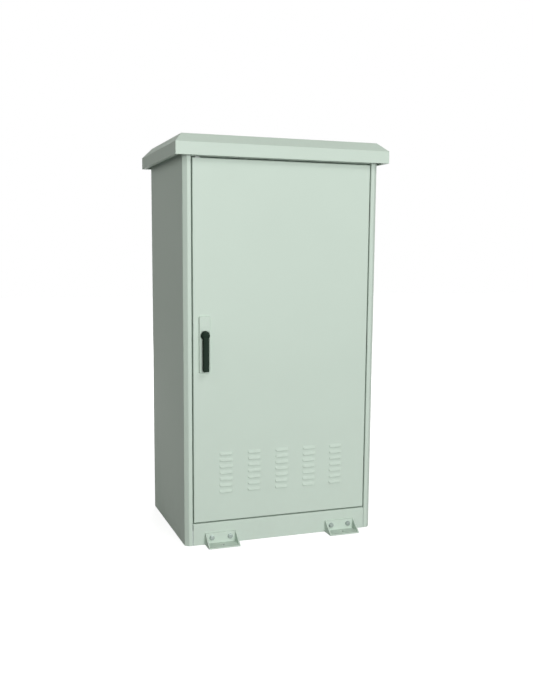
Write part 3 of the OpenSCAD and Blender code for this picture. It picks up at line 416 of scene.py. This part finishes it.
@dataclass(frozen=True)
class PlatedSteel(Finish):
    """Plated or bare metal with a drawn grain."""

    grain: Axis = Axis.Z
    grain_scale: float = 1400.0
    grain_rough: float = 0.15
    relief: float = 0.000008
    tarnish_scale: float = 45.0
    tarnish_share: float = 0.5
    tarnish_tone: float = 0.72
    edge_highlight_share: float = 0.5
    edge_highlight_tone: float = 1.2

    def sockets(self, sheet: NodeSheet, edges: Sockets) -> dict:
        """Drawn grain, a painted highlight that makes the edges brighter, and a little tarnish."""
        drawn = Brushed.use(sheet, Stretch=self.grain.value, Grain=self.grain_scale)["Height"]
        tarnish = sheet.patches(self.tarnish_scale, low=0.4, high=0.8)
        tone = sheet.wash(self.colour, self.shade(self.tarnish_tone), tarnish, self.tarnish_share)
        # Painted highlight: every edge is painted brighter.
        tone = sheet.wash(tone, self.shade(self.edge_highlight_tone), edges["Edge"], self.edge_highlight_share)
        rough = sheet.lift(self.roughness, drawn, self.grain_rough)
        normal = sheet.bump(drawn, self.relief, edges["Normal"])
        return {"Base Color": tone, "Metallic": 1.0, "Roughness": rough, "Normal": normal}


@dataclass(frozen=True)
class GrainedPlastic(Finish):
    """Moulded plastic with a spark-eroded grain."""

    pebble_scale: float = 1500.0
    relief: float = 0.00003
    gloss: float = 0.16
    pebble_rough: float = 0.12
    rub_scale: float = 60.0
    rub_share: float = 0.35
    rub_tone: float = 2.2
    dust_share: float = 0.08
    dust_colour: Colour = linear(120, 120, 112)

    def sockets(self, sheet: NodeSheet, edges: Sockets) -> dict:
        """Fine pebbles, edges rubbed a little lighter."""
        pebbles = sheet.noise(sheet.place(), self.pebble_scale)
        rubbed = sheet.times(edges["Edge"], sheet.patches(self.rub_scale, low=0.4, high=0.7))
        tone = sheet.wash(self.colour, self.shade(self.rub_tone), rubbed, self.rub_share)
        tone = sheet.wash(tone, self.dust_colour, Dust.use(sheet)["Mask"], self.dust_share)
        rough = sheet.lift(self.roughness, pebbles, self.pebble_rough)
        normal = sheet.bump(pebbles, self.relief, edges["Normal"])
        return {"Base Color": tone, "Roughness": rough, "Specular IOR Level": self.gloss, "Normal": normal}


@dataclass(frozen=True)
class CellFoam(Finish):
    """Closed-cell rubber foam."""

    cell_scale: float = 1100.0
    dark_tone: float = 0.6
    light_tone: float = 1.3
    gloss: float = 0.25
    relief: float = 0.0001

    def sockets(self, sheet: NodeSheet, edges: Sockets) -> dict:
        """Small cells in colour and relief."""
        values = {"Vector": sheet.place(), "Scale": self.cell_scale}
        cells = sheet.add("ShaderNodeTexVoronoi", values).outputs["Distance"]
        dark, light = self.shade(self.dark_tone), self.shade(self.light_tone)
        tone = sheet.blend(sheet.ramp(cells, low=0.0, high=0.7), dark, light)
        normal = sheet.bump(cells, self.relief, edges["Normal"])
        return {"Base Color": tone, "Roughness": self.roughness, "Specular IOR Level": self.gloss,
                "Normal": normal}


@dataclass(frozen=True)
class Felt(Finish):
    """Non-woven filter pad."""

    stretch: float = 0.12
    long_scale: float = 1200.0
    cross_scale: float = 1100.0
    dark_tone: float = 0.7
    light_tone: float = 1.08
    sheen: float = 0.3
    relief: float = 0.0004

    def sockets(self, sheet: NodeSheet, edges: Sockets) -> dict:
        """Crossed fibres and a soft sheen."""
        long = Brushed.use(sheet, Stretch=(self.stretch, 1.0, 1.0), Grain=self.long_scale)["Height"]
        cross = Brushed.use(sheet, Stretch=(1.0, 1.0, self.stretch), Grain=self.cross_scale)["Height"]
        fibre = sheet.math("MAXIMUM", long, cross)
        dark, light = self.shade(self.dark_tone), self.shade(self.light_tone)
        tone = sheet.blend(sheet.ramp(fibre, low=0.35, high=0.75), dark, light)
        normal = sheet.bump(fibre, self.relief, edges["Normal"])
        return {"Base Color": tone, "Roughness": self.roughness, "Sheen Weight": self.sheen, "Normal": normal}


COAT = PowderCoat("sage_powder_coat", linear(202, 217, 206), 0.50, 0.0011)
GALVANISED = Galvanised("spangled_zinc", linear(186, 190, 193), 0.36)
FASTENERS = PlatedSteel("bright_zinc_plate", linear(164, 175, 170), 0.26, 0.0004)
LOCK_STEEL = PlatedSteel("dull_zinc_plate", linear(146, 151, 149), 0.36, 0.0005)
HANDLE_BLACK = GrainedPlastic("grained_black", linear(38, 52, 44), 0.60, 0.0012, gloss=0.05)
GUIDE_PLASTIC = GrainedPlastic("plain_black", linear(36, 38, 38), 0.5)
SEAL_RUBBER = CellFoam("cell_rubber", linear(46, 47, 48), 0.85)
FILTER_FELT = Felt("filter_fleece", linear(214, 214, 206), 0.95)
BUS_COPPER = PlatedSteel("drawn_copper", linear(204, 142, 104), 0.30, 0.0006, grain=Axis.X)
STAND_RESIN = GrainedPlastic(
    "cast_resin", linear(132, 42, 32), 0.35, 0.0006, pebble_scale=500.0, relief=0.00001)
BRASS = PlatedSteel("terminal_brass", linear(200, 170, 104), 0.28, 0.0003)


def dress(finish: Finish, nodes: Iterable[str]) -> None:
    """Give the named CAD nodes a finish."""
    for name in nodes:
        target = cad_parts[name]
        if not target.material_slots:
            target.data.materials.append(finish.material())
        for slot in target.material_slots:
            slot.material = finish.material()
        LOG.info("%s: %s", name, finish.name)


class GeometryTree:
    """Short calls that build one Geometry Nodes tree and turn its result into a plain mesh."""

    def __init__(self, name: str) -> None:
        """Start a tree with a geometry input and output."""
        self.tree = bpy.data.node_groups.new(name, "GeometryNodeTree")
        self.tree.interface.new_socket("Geometry", in_out="INPUT", socket_type="NodeSocketGeometry")
        self.tree.interface.new_socket("Geometry", in_out="OUTPUT", socket_type="NodeSocketGeometry")
        self.sheet = NodeSheet(self.tree)
        self.identifiers: dict[str, str] = {}
        self.values: dict[str, float] = {}

    def size(self, name: str, value: float) -> None:
        """Add a named input and the value that the piece uses."""
        socket = self.tree.interface.new_socket(name, in_out="INPUT", socket_type="NodeSocketFloat")
        self.identifiers[name] = socket.identifier
        self.values[name] = value

    def circle(self, sides: int, radius: object) -> Socket:
        """Return a circle as a curve."""
        values = {"Resolution": sides, "Radius": radius}
        return self.sheet.add("GeometryNodeCurvePrimitiveCircle", values).outputs[0]

    def moved(self, shape: object, offset: object) -> Socket:
        """Return a shape moved by an offset."""
        return self.sheet.add("GeometryNodeTransform", {"Geometry": shape, "Translation": offset}).outputs[0]

    def smooth(self, shape: object) -> Socket:
        """Return a shape with smooth shading."""
        return self.sheet.add("GeometryNodeSetShadeSmooth", {"Geometry": shape}).outputs[0]

    def facing_front(self, points: object, shape: object, **settings: object) -> Socket:
        """Return a shape set at every point, its Z axis turned to the front."""
        values = {"Points": points, "Instance": shape, "Rotation": (QUARTER_TURN, 0.0, 0.0), **settings}
        return self.sheet.add("GeometryNodeInstanceOnPoints", values).outputs[0]

    def close(self, result: Socket, finish: Finish) -> None:
        """End the tree with a shape as real geometry in one finish."""
        real = self.sheet.add("GeometryNodeRealizeInstances", {"Geometry": result}).outputs[0]
        dressed = self.sheet.add("GeometryNodeSetMaterial", {"Geometry": real, "Material": finish.material()})
        self.tree.links.new(dressed.outputs[0], self.sheet.add("NodeGroupOutput").inputs[0])

    def apply(self, source: bpy.types.Mesh, name: str) -> bpy.types.Object:
        """Run the tree on a mesh.

        Args:
            source: Mesh that the tree starts from.
            name: Name of the finished piece.

        Returns:
            A plain mesh object at the origin, in the scene.
        """
        holder = place_object(f"{name}_maker", source)
        modifier = holder.modifiers.new("maker", "NODES")
        modifier.node_group = self.tree
        for key, value in self.values.items():
            modifier[self.identifiers[key]] = value
        graph = bpy.context.evaluated_depsgraph_get()
        mesh = bpy.data.meshes.new_from_object(holder.evaluated_get(graph))
        holder.modifiers.clear()
        bpy.data.objects.remove(holder)
        mesh.name = name
        return place_object(name, mesh)


@dataclass
class Enclosure:
    """Sheet-metal body, canopy, base and anchor brackets.

    Attributes:
        coated: Sheets with the powder coat.
        brackets: Anchor brackets, with the same coat.
        zinc: Nodes left galvanised.
        fixings: Bolts, screws, nuts and spacers.
    """

    coated: tuple[str, ...] = (
        "left_side_wall", "right_side_wall", "rear_panel", "front_plinth", "front_header", "top_plate",
        "roof_canopy")
    brackets: tuple[str, ...] = (
        "bracket_front_left", "bracket_front_right", "bracket_rear_left", "bracket_rear_right")
    zinc: tuple[str, ...] = ("base_frame", "floor_plate", "gland_plate")
    fixings: tuple[str, ...] = (
        "rear_panel_screws", "gland_screws", "rail_screws", "roof_spacers", "roof_bolts", "bracket_bolts",
        "bracket_nuts")

    def finish(self) -> None:
        """Give every fixed sheet and fixing its finish."""
        dress(COAT, self.coated + self.brackets)
        dress(GALVANISED, self.zinc)
        dress(FASTENERS, self.fixings)
        dress(SEAL_RUBBER, ("cable_grommets",))


@dataclass
class BracketWelds:
    """Rippled fillet welds inside the gussets of the anchor brackets.

    Attributes:
        plate: Thickness of a bracket's plates in metres.
        toe: Distance of a seam's end from the foot's front edge.
        ripple: Distance between ripples.
        step: Distance between two cross-sections, as a share of a ripple.
        bead: Radius of the bead.
        sides: Sides of its cross-section.
        slim: Share of the radius that the bead keeps everywhere.
        wave: Height of a ripple, as a share of the radius.
        lumps: Lumps of the bead in a metre.
    """

    plate: float = 0.004
    toe: float = 0.006
    ripple: float = 0.0018
    step: float = 0.2
    bead: float = 0.0014
    sides: int = 10
    slim: float = 0.5
    wave: float = 0.09
    lumps: float = 260.0

    def seams(self, node: str) -> list[list[Vector]]:
        """Find the seams of one bracket.

        Args:
            node: Name of the bracket.

        Returns:
            Corners of each seam, from the foot's toe to the plate's top.
        """
        low, high = (Vector(corner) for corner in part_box(node))
        front = low.y < 0
        wall = high.y - self.plate if front else low.y + self.plate
        toe = low.y + self.toe if front else high.y - self.toe
        foot, top = low.z + self.plate, high.z - self.bead
        return [[Vector((x, toe, foot)), Vector((x, wall, foot)), Vector((x, wall, top))]
                for x in (low.x + self.plate, high.x - self.plate)]

    def tree(self) -> GeometryTree:
        """Build the tree that sweeps a rippled bead along the seams."""
        maker = GeometryTree("weld_beads")
        maker.size("Ripple", self.ripple)
        maker.size("Bead", self.bead)
        sheet = maker.sheet
        given = sheet.add("NodeGroupInput").outputs
        curve = sheet.add("GeometryNodeMeshToCurve", {"Mesh": given["Geometry"]}).outputs[0]
        values = {"Curve": curve, "Length": sheet.times(given["Ripple"], self.step)}
        points = sheet.add("GeometryNodeResampleCurve", values, mode="LENGTH").outputs[0]
        along = sheet.add("GeometryNodeSplineParameter").outputs["Length"]
        turns = sheet.times(sheet.math("DIVIDE", along, given["Ripple"]), 2.0 * math.pi)
        wave = sheet.times(sheet.math("SINE", turns), self.wave)
        uneven = sheet.noise(sheet.add("GeometryNodeInputPosition").outputs[0], self.lumps)
        swell = sheet.math("ADD", sheet.math("ADD", wave, uneven), self.slim)
        ring = maker.circle(self.sides, given["Bead"])
        values = {"Curve": points, "Profile Curve": ring, "Scale": swell, "Fill Caps": True}
        bead = sheet.add("GeometryNodeCurveToMesh", values).outputs[0]
        maker.close(maker.smooth(bead), COAT)
        return maker

    def build(self, brackets: Sequence[str]) -> None:
        """Make the beads of the named brackets as one piece that rides on the cabinet."""
        points: list[Vector] = []
        lines: list[tuple[int, int]] = []
        for seam in (seam for node in brackets for seam in self.seams(node)):
            first = len(points)
            lines += [(first + i, first + i + 1) for i in range(len(seam) - 1)]
            points += seam
        path = bpy.data.meshes.new("weld_seams")
        path.from_pydata([tuple(point) for point in points], lines, [])
        piece = self.tree().apply(path, "bracket_welds")
        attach(piece, Body.CABINET.value)
        LOG.info("bracket_welds: %d points", len(points))


@dataclass
class SpotWelds:
    """Electrode marks of the spot welds along the feet of the door's stiffeners.

    Attributes:
        foot: Width of a stiffener's foot in metres.
        sheet: Thickness of the foot.
        spacing: Largest distance between two welds.
        end: Distance of the outer welds from a stiffener's ends.
        ring: Radius of a mark.
        ring_sides: Sides of the mark.
        rim: Radius of its raised rim.
        rim_sides: Sides of the rim's cross-section.
        flat: Height of the rim, as a share of its width.
    """

    foot: float = 0.014
    sheet: float = 0.0015
    spacing: float = 0.08
    end: float = 0.03
    ring: float = 0.0029
    ring_sides: int = 20
    rim: float = 0.0006
    rim_sides: int = 8
    flat: float = 0.5

    def places(self, node: str) -> list[Point]:
        """Return the middles of the marks on one stiffener.

        Args:
            node: Name of the stiffener.

        Returns:
            Points on the inner face of its two feet.
        """
        low, high = (Vector(corner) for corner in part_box(node))
        first, last = low.z + self.end, high.z - self.end
        steps = math.ceil((last - first) / self.spacing)
        return [(x, low.y + self.sheet, first + (last - first) * i / steps)
                for x in (low.x + self.foot / 2, high.x - self.foot / 2) for i in range(steps + 1)]

    def tree(self) -> GeometryTree:
        """Build the tree that sets a flat ring at each point."""
        maker = GeometryTree("spot_welds")
        maker.size("Ring", self.ring)
        maker.size("Rim", self.rim)
        given = maker.sheet.add("NodeGroupInput").outputs
        values = {"Curve": maker.circle(self.ring_sides, given["Ring"]),
                  "Profile Curve": maker.circle(self.rim_sides, given["Rim"])}
        mark = maker.smooth(maker.sheet.add("GeometryNodeCurveToMesh", values).outputs[0])
        maker.close(maker.facing_front(given["Geometry"], mark, Scale=(1.0, 1.0, self.flat)), COAT)
        return maker

    def build(self, stiffeners: Sequence[str]) -> None:
        """Make the marks of the named stiffeners as one piece that rides on the door."""
        points = [place for node in stiffeners for place in self.places(node)]
        spots = bpy.data.meshes.new("weld_spots")
        spots.from_pydata(points, [], [])
        piece = self.tree().apply(spots, "stiffener_spot_welds")
        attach(piece, Body.DOOR.value)
        LOG.info("stiffener_spot_welds: %d", len(points))


@dataclass
class EquipmentBay:
    """Rack rails and the earth bar with its terminal screws.

    Attributes:
        rails: Nodes of the rails.
        pitch: Spacing of the terminals in metres.
        count: Number of terminals.
        head: Radius of a terminal screw's head.
        height: Height of the head.
        slot_width: Width of the slot in the head, as a share of the head's radius.
        slot_lift: How far the blade that cuts the slot is raised, as a share of the head's height.
        washer: Thickness of its washer.
        washer_radius: Radius of the washer, as a share of the head's.
        washer_sides: Sides of the washer.
    """

    rails: tuple[str, ...] = ("rail_front_left", "rail_front_right", "rail_rear_left", "rail_rear_right")
    pitch: float = 0.022
    count: int = 7
    head: float = 0.0052
    height: float = 0.0035
    slot_width: float = 0.2
    slot_lift: float = 0.6
    washer: float = 0.0012
    washer_radius: float = 1.25
    washer_sides: int = 28

    def finish(self) -> None:
        """Give the rails and the bar their finishes."""
        dress(GALVANISED, self.rails)
        dress(BUS_COPPER, ("earth_bar",))
        dress(STAND_RESIN, ("earth_bar_stands",))

    def tree(self) -> GeometryTree:
        """Build the tree that sets a washer and a slotted hexagon head at each point."""
        maker = GeometryTree("terminal_screws")
        maker.size("Head", self.head)
        maker.size("Height", self.height)
        sheet = maker.sheet
        given = sheet.add("NodeGroupInput").outputs
        wide = sheet.times(given["Head"], self.washer_radius)
        values = {"Vertices": 6, "Radius": given["Head"], "Depth": given["Height"]}
        hexagon = sheet.add("GeometryNodeMeshCylinder", values).outputs[0]
        narrow = sheet.times(given["Head"], self.slot_width)
        size = sheet.vector(X=sheet.times(wide, 2.0), Y=narrow, Z=given["Height"])
        blade = sheet.add("GeometryNodeMeshCube", {"Size": size}).outputs[0]
        raised = maker.moved(blade, sheet.vector(Z=sheet.times(given["Height"], self.slot_lift)))
        values = {"Mesh 1": hexagon, "Mesh 2": raised}
        slotted = sheet.add("GeometryNodeMeshBoolean", values, operation="DIFFERENCE").outputs[0]
        lift = sheet.math("ADD", sheet.times(given["Height"], 0.5), self.washer / 2)
        head = maker.moved(slotted, sheet.vector(Z=lift))
        values = {"Vertices": self.washer_sides, "Radius": wide, "Depth": self.washer}
        washer = sheet.add("GeometryNodeMeshCylinder", values).outputs[0]
        joined = sheet.add("GeometryNodeJoinGeometry")
        for part in (head, washer):
            maker.tree.links.new(part, joined.inputs[0])
        maker.close(maker.facing_front(given["Geometry"], joined.outputs[0]), BRASS)
        return maker

    def build(self) -> None:
        """Make the terminal screws as one piece that rides on the cabinet."""
        low, high = (Vector(corner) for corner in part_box("earth_bar"))
        middle = (low + high) / 2
        first = -(self.count - 1) / 2
        points = [(middle.x + (first + i) * self.pitch, low.y - self.washer / 2, middle.z)
                  for i in range(self.count)]
        places = bpy.data.meshes.new("terminal_places")
        places.from_pydata(points, [], [])
        piece = self.tree().apply(places, "terminal_screws")
        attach(piece, Body.CABINET.value)
        LOG.info("terminal_screws: %d", len(points))


@dataclass
class DoorLeaf:
    """Louvred door with its stiffeners, filter frame and hinges.

    Attributes:
        coated: Other nodes with the powder coat.
        stiffeners: Nodes of the stiffeners.
        hinges: Leaves and pins of the hinges.
    """

    coated: tuple[str, ...] = ("door_panel", "lock_escutcheon")
    stiffeners: tuple[str, ...] = ("door_stiffener_left", "door_stiffener_right")
    hinges: tuple[str, ...] = (
        "hinge_leaf_low", "hinge_leaf_mid", "hinge_leaf_high",
        "hinge_pin_low", "hinge_pin_mid", "hinge_pin_high",
        "door_leaf_low", "door_leaf_mid", "door_leaf_high")

    def finish(self) -> None:
        """Give the door's sheets, hinges and filter frame their finishes."""
        dress(COAT, self.coated + self.stiffeners)
        dress(LOCK_STEEL, self.hinges)
        dress(FASTENERS, ("hinge_screws",))
        dress(GALVANISED, ("filter_frame",))


@dataclass
class DoorSeal:
    """Foamed door seal with a domed back, in place of the gasket's plain ring.

    Attributes:
        width: Width of the bead in metres.
        corner: Radius of the bead's middle line at the corners.
        step: Distance between two cross-sections on the straight runs.
        arc_steps: Steps round a corner and over the dome.
        uneven: Largest share by which the foam falls short of its full size.
        lumps: Lumps of the foam in a metre.
    """

    width: float = 0.009
    corner: float = 0.006
    step: float = 0.007
    arc_steps: int = 10
    uneven: float = 0.09
    lumps: float = 55.0

    def path(self, low: Vector, high: Vector) -> list[tuple[Vector, Vector]]:
        """Follow the bead's middle line.

        Args:
            low: Lowest corner of the ring.
            high: Highest corner of the ring.

        Returns:
            Points on the door's flange, each with the direction to the outside.
        """
        inset = self.width / 2 + self.corner
        right, left, bottom, top = high.x - inset, low.x + inset, low.z + inset, high.z - inset
        turns = ((right, bottom), (right, top), (left, top), (left, bottom))
        centres = [Vector((x, low.y, z)) for x, z in turns]
        places: list[tuple[Vector, Vector]] = []
        for turn, centre in enumerate(centres):
            for i in range(self.arc_steps + 1):
                angle = (turn - 1 + i / self.arc_steps) * QUARTER_TURN
                out = Vector((math.cos(angle), 0.0, math.sin(angle)))
                places.append((centre + out * self.corner, out))
            start, out = places[-1]
            end = centres[(turn + 1) % len(centres)] + out * self.corner
            count = round((end - start).length / self.step)
            places += [(start.lerp(end, i / count), out) for i in range(1, count)]
        return places

    def profile(self, height: float) -> list[tuple[float, float]]:
        """Return the bead's outline as distances outwards and up, from its outer foot over the dome."""
        half = self.width / 2
        angles = [math.pi * i / self.arc_steps for i in range(self.arc_steps + 1)]
        dome = [(half * math.cos(angle), height - half + half * math.sin(angle)) for angle in angles]
        return [(half, 0.0), *dome, (-half, 0.0)]

    def build(self) -> None:
        """Sweep the outline round the door as a piece that rides on it."""
        low, high = (Vector(corner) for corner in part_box("door_gasket"))
        places, outline = self.path(low, high), self.profile(high.y - low.y)
        points: list[Vector] = []
        for place, out in places:
            full = 1.0 - self.uneven * (0.5 + 0.5 * noise.noise(place * self.lumps))
            points += [place + out * across * full + Vector((0.0, up * full, 0.0)) for across, up in outline]
        size, rings = len(outline), len(places)
        faces = []
        for ring in range(rings):
            here, there = ring * size, (ring + 1) % rings * size
            sides = ((j, (j + 1) % size) for j in range(size))
            faces += [(here + j, here + k, there + k, there + j) for j, k in sides]
        mesh = bpy.data.meshes.new("door_seal")
        mesh.from_pydata(points, [], faces)
        mesh.shade_smooth()
        mesh.materials.append(SEAL_RUBBER.material())
        piece = place_object("door_seal", mesh)
        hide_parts("door_gasket")
        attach(piece, Body.DOOR.value)
        LOG.info("door_seal: %d cross-sections", rings)


@dataclass
class FilterFleece:
    """Filter pad that swells through the windows of its frame, in place of the plain slab.

    Attributes:
        windows: Number of windows.
        rim: Width of the frame between and round the windows in metres.
        edge: Distance over which the fleece rises inside a window.
        swell: How far it rises.
        tufts: Tufts of the fleece in a metre.
        tuft_share: Share of the rise that the tufts vary.
        cell: Size of the cells of its surface.
    """

    windows: int = 5
    rim: float = 0.009
    edge: float = 0.016
    swell: float = 0.0042
    tufts: float = 70.0
    tuft_share: float = 0.6
    cell: float = 0.004

    def tree(self, size: Vector, middle: Vector, pitch: float, half: Vector) -> GeometryTree:
        """Build the tree that lifts the pad's inner face inside each window.

        Args:
            size: Size of the pad.
            middle: Middle of the pad.
            pitch: Distance between two windows' middles.
            half: Half of a window's width and height, in X and Z.

        Returns:
            The tree.
        """
        maker = GeometryTree("filter_fleece")
        maker.size("Swell", self.swell)
        maker.size("Edge", self.edge)
        maker.size("Pitch", pitch)
        sheet = maker.sheet
        given = sheet.add("NodeGroupInput").outputs
        columns, rows = round(size.x / self.cell), round(size.z / self.cell)
        values = {"Size": size, "Vertices X": columns, "Vertices Z": rows}
        slab = sheet.add("GeometryNodeMeshCube", values).outputs[0]
        place = sheet.add("GeometryNodeInputPosition").outputs[0]
        local = sheet.parts(place)
        turn = sheet.math("ADD", sheet.math("DIVIDE", local["X"], given["Pitch"]), 0.5)
        share = sheet.math("ABSOLUTE", sheet.math("SUBTRACT", sheet.math("FRACT", turn), 0.5))
        across = sheet.times(share, given["Pitch"])
        wide = sheet.ramp(across, half.x, sheet.math("SUBTRACT", half.x, given["Edge"]), soft=True)
        high = sheet.math("ABSOLUTE", local["Z"])
        tall = sheet.ramp(high, half.z, sheet.math("SUBTRACT", half.z, given["Edge"]), soft=True)
        inner = sheet.math("GREATER_THAN", local["Y"], 0.0)
        inside = sheet.times(sheet.times(wide, tall), inner)
        tufts = sheet.lift(1.0 - self.tuft_share, sheet.noise(place, self.tufts, detail=3.0), self.tuft_share)
        rise = sheet.times(sheet.times(inside, tufts), given["Swell"])
        values = {"Geometry": slab, "Offset": sheet.vector(Y=rise)}
        lifted = sheet.add("GeometryNodeSetPosition", values).outputs[0]
        maker.close(maker.smooth(maker.moved(lifted, middle)), FILTER_FELT)
        return maker

    def build(self) -> None:
        """Make the pad as a piece that rides on the door."""
        low, high = (Vector(corner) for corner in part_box("filter_pad"))
        frame_low, frame_high = (Vector(corner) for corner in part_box("filter_frame"))
        pitch = (frame_high.x - frame_low.x) / self.windows
        height = frame_high.z - frame_low.z
        half = Vector(((pitch - self.rim) / 2, 0.0, height / 2 - self.rim))
        maker = self.tree(high - low, (low + high) / 2, pitch, half)
        piece = maker.apply(bpy.data.meshes.new("fleece_start"), "filter_fleece")
        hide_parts("filter_pad")
        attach(piece, Body.DOOR.value)
        LOG.info("filter_fleece: %d faces", len(piece.data.polygons))


@dataclass
class LockGear:
    """Handle, crank and rods of the lock."""

    def finish(self) -> None:
        """Give the handle, the crank and the rods their finishes."""
        dress(HANDLE_BLACK, ("handle_hub", "lever"))
        dress(LOCK_STEEL, ("crank_plate", "upper_rod", "lower_rod"))
        dress(FASTENERS, ("lock_nut", "crank_screw", "lever_pin"))
        dress(GUIDE_PLASTIC, ("rod_guides",))


@dataclass
class PhotoCamera:
    """Camera at the photograph's place and angle.

    Attributes:
        place: Camera position in metres.
        yaw: Turn to the right of +Y in degrees.
        pitch: Tilt above the horizon in degrees.
        roll: Roll in degrees.
        focal: Focal length in pixels of the photograph.
        shift: Offset of the optical centre in pixels, right and down.
        reach: Distance in metres up to which it sees.
    """

    place: Point = (-0.94478, -2.76757, 0.92775)
    yaw: float = 19.37
    pitch: float = -7.87
    roll: float = 0.39
    focal: float = 845.6
    shift: tuple[float, float] = (0.33, 26.24)
    reach: float = 100.0

    def build(self) -> None:
        """Make the camera and use it for the scene."""
        yaw, pitch, roll = (math.radians(angle) for angle in (self.yaw, self.pitch, self.roll))
        ahead = Vector((math.sin(yaw) * math.cos(pitch), math.cos(yaw) * math.cos(pitch), math.sin(pitch)))
        level = Vector((math.cos(yaw), -math.sin(yaw), 0.0))
        above = level.cross(ahead)
        right = level * math.cos(roll) + above * math.sin(roll)
        up = above * math.cos(roll) - level * math.sin(roll)
        data = bpy.data.cameras.new("photo_camera")
        data.sensor_width = SENSOR_MM
        data.lens = self.focal / PHOTO_LONG_SIDE * SENSOR_MM
        data.shift_x = -self.shift[0] / PHOTO_LONG_SIDE
        data.shift_y = self.shift[1] / PHOTO_LONG_SIDE
        data.clip_end = self.reach
        camera = place_object("photo_camera", data)
        turn = Matrix((right, up, -ahead)).transposed().to_4x4()
        camera.matrix_world = Matrix.Translation(self.place) @ turn
        bpy.context.scene.camera = camera


@dataclass(frozen=True)
class Lamp:
    """A square area lamp.

    Attributes:
        name: Name of the lamp.
        place: Position in metres.
        aim: Point that it faces.
        size: Side in metres.
        power: Power in watts.
    """

    name: str
    place: Point
    aim: Point
    size: float
    power: float

    def build(self) -> None:
        """Put the lamp in the scene."""
        data = bpy.data.lights.new(self.name, "AREA")
        data.shape, data.size, data.energy = "SQUARE", self.size, self.power
        lamp = place_object(self.name, data)
        lamp.location = self.place
        lamp.rotation_mode = "QUATERNION"
        lamp.rotation_quaternion = (Vector(self.aim) - Vector(self.place)).to_track_quat("-Z", "Y")


@dataclass
class Studio:
    """Pale floor, white surround and soft lamps.

    Attributes:
        ambient: Strength of the surround's light.
        tint: Colour of the surround's light on shaded faces.
        floor_grey: Grey of the floor, which keeps the shadow.
        floor_rough: Roughness of the floor.
        floor_gloss: Specular level of the floor.
        floor_glow: Share of the floor's white under the cabinet that isn't shaded, full white further out.
        glow_near: Distance from the middle in metres where the glow starts to rise.
        glow_far: Distance where it is full.
        floor_size: Side of the floor in metres.
        floor_drop: Distance of the floor below the cabinet's foot.
        lamps: The lamps.
    """

    ambient: float = 0.120
    tint: Colour = (0.97, 1.0, 0.84, 1.0)
    floor_grey: float = 0.36
    floor_rough: float = 0.9
    floor_gloss: float = 0.1
    floor_glow: float = 0.87
    glow_near: float = 0.6
    glow_far: float = 2.4
    floor_size: float = 30.0
    floor_drop: float = 0.0006
    lamps: tuple[Lamp, ...] = (
        Lamp("key", (0.0, -6.2, 1.55), (0.0, 0.0, 0.8), 2.2, 216.0),
        Lamp("left", (-2.0, -1.2, 2.2), (-0.33, 0.0, 0.9), 0.8, 5.0),
        Lamp("top", (1.0, -3.6, 4.1), (0.0, 0.0, 0.8), 1.6, 58.0),
        Lamp("rear", (1.6, 5.6, 2.0), (0.0, 0.0, 0.7), 2.2, 150.0))

    def seen(self, sheet: NodeSheet) -> Socket:
        """Return 1 for rays that show the surround: camera, glossy and transmission rays."""
        path = sheet.add("ShaderNodeLightPath").outputs
        both = sheet.math("MAXIMUM", path["Is Camera Ray"], path["Is Glossy Ray"])
        return sheet.math("MAXIMUM", both, path["Is Transmission Ray"])

    def surround(self) -> None:
        """Make the world white to look at and dim as a light."""
        world = bpy.data.worlds.new("surround")
        world.use_nodes = True
        bpy.context.scene.world = world
        sheet = NodeSheet(world.node_tree)
        seen = self.seen(sheet)
        values = {"Value": seen, "To Min": self.ambient, "To Max": 1.0}
        level = sheet.add("ShaderNodeMapRange", values).outputs["Result"]
        back = {"Color": sheet.blend(seen, self.tint, WHITE), "Strength": level}
        sheet.feed(world.node_tree.nodes["Background"], back)

    def floor_material(self) -> bpy.types.Material:
        """Return a floor that looks white and keeps the shadow."""
        material = bpy.data.materials.new("floor")
        material.use_nodes = True
        sheet = NodeSheet(material.node_tree)
        away = sheet.add("ShaderNodeVectorMath", {0: sheet.place()}, operation="LENGTH").outputs["Value"]
        values = {"Value": away, "From Min": self.glow_near, "From Max": self.glow_far,
                  "To Min": self.floor_glow, "To Max": 1.0}
        white = sheet.add("ShaderNodeMapRange", values).outputs["Result"]
        sheet.feed(material.node_tree.nodes["Principled BSDF"], {
            "Base Color": (self.floor_grey, self.floor_grey, self.floor_grey, 1.0),
            "Roughness": self.floor_rough, "Specular IOR Level": self.floor_gloss,
            "Emission Color": WHITE, "Emission Strength": sheet.times(self.seen(sheet), white)})
        return material

    def floor(self) -> None:
        """Make the floor."""
        half = self.floor_size / 2
        mesh = bpy.data.meshes.new("floor")
        corners = [(-half, -half, 0), (half, -half, 0), (half, half, 0), (-half, half, 0)]
        mesh.from_pydata(corners, [], [(0, 1, 2, 3)])
        mesh.materials.append(self.floor_material())
        floor = place_object("floor", mesh)
        floor.location.z = -self.floor_drop

    def build(self) -> None:
        """Make the surround, the floor and the lamps."""
        bpy.context.scene.view_settings.view_transform = "Standard"
        self.surround()
        self.floor()
        for lamp in self.lamps:
            lamp.build()


def main() -> None:
    """Build the scene in order."""
    logging.basicConfig(level=logging.INFO, format="%(name)s %(message)s")
    PhotoCamera().build()
    enclosure = Enclosure()
    enclosure.finish()
    BracketWelds().build(enclosure.brackets)
    door = DoorLeaf()
    door.finish()
    SpotWelds().build(door.stiffeners)
    DoorSeal().build()
    FilterFleece().build()
    LockGear().finish()
    bay = EquipmentBay()
    bay.finish()
    bay.build()
    Studio().build()


if __name__ == "__main__":
    main()
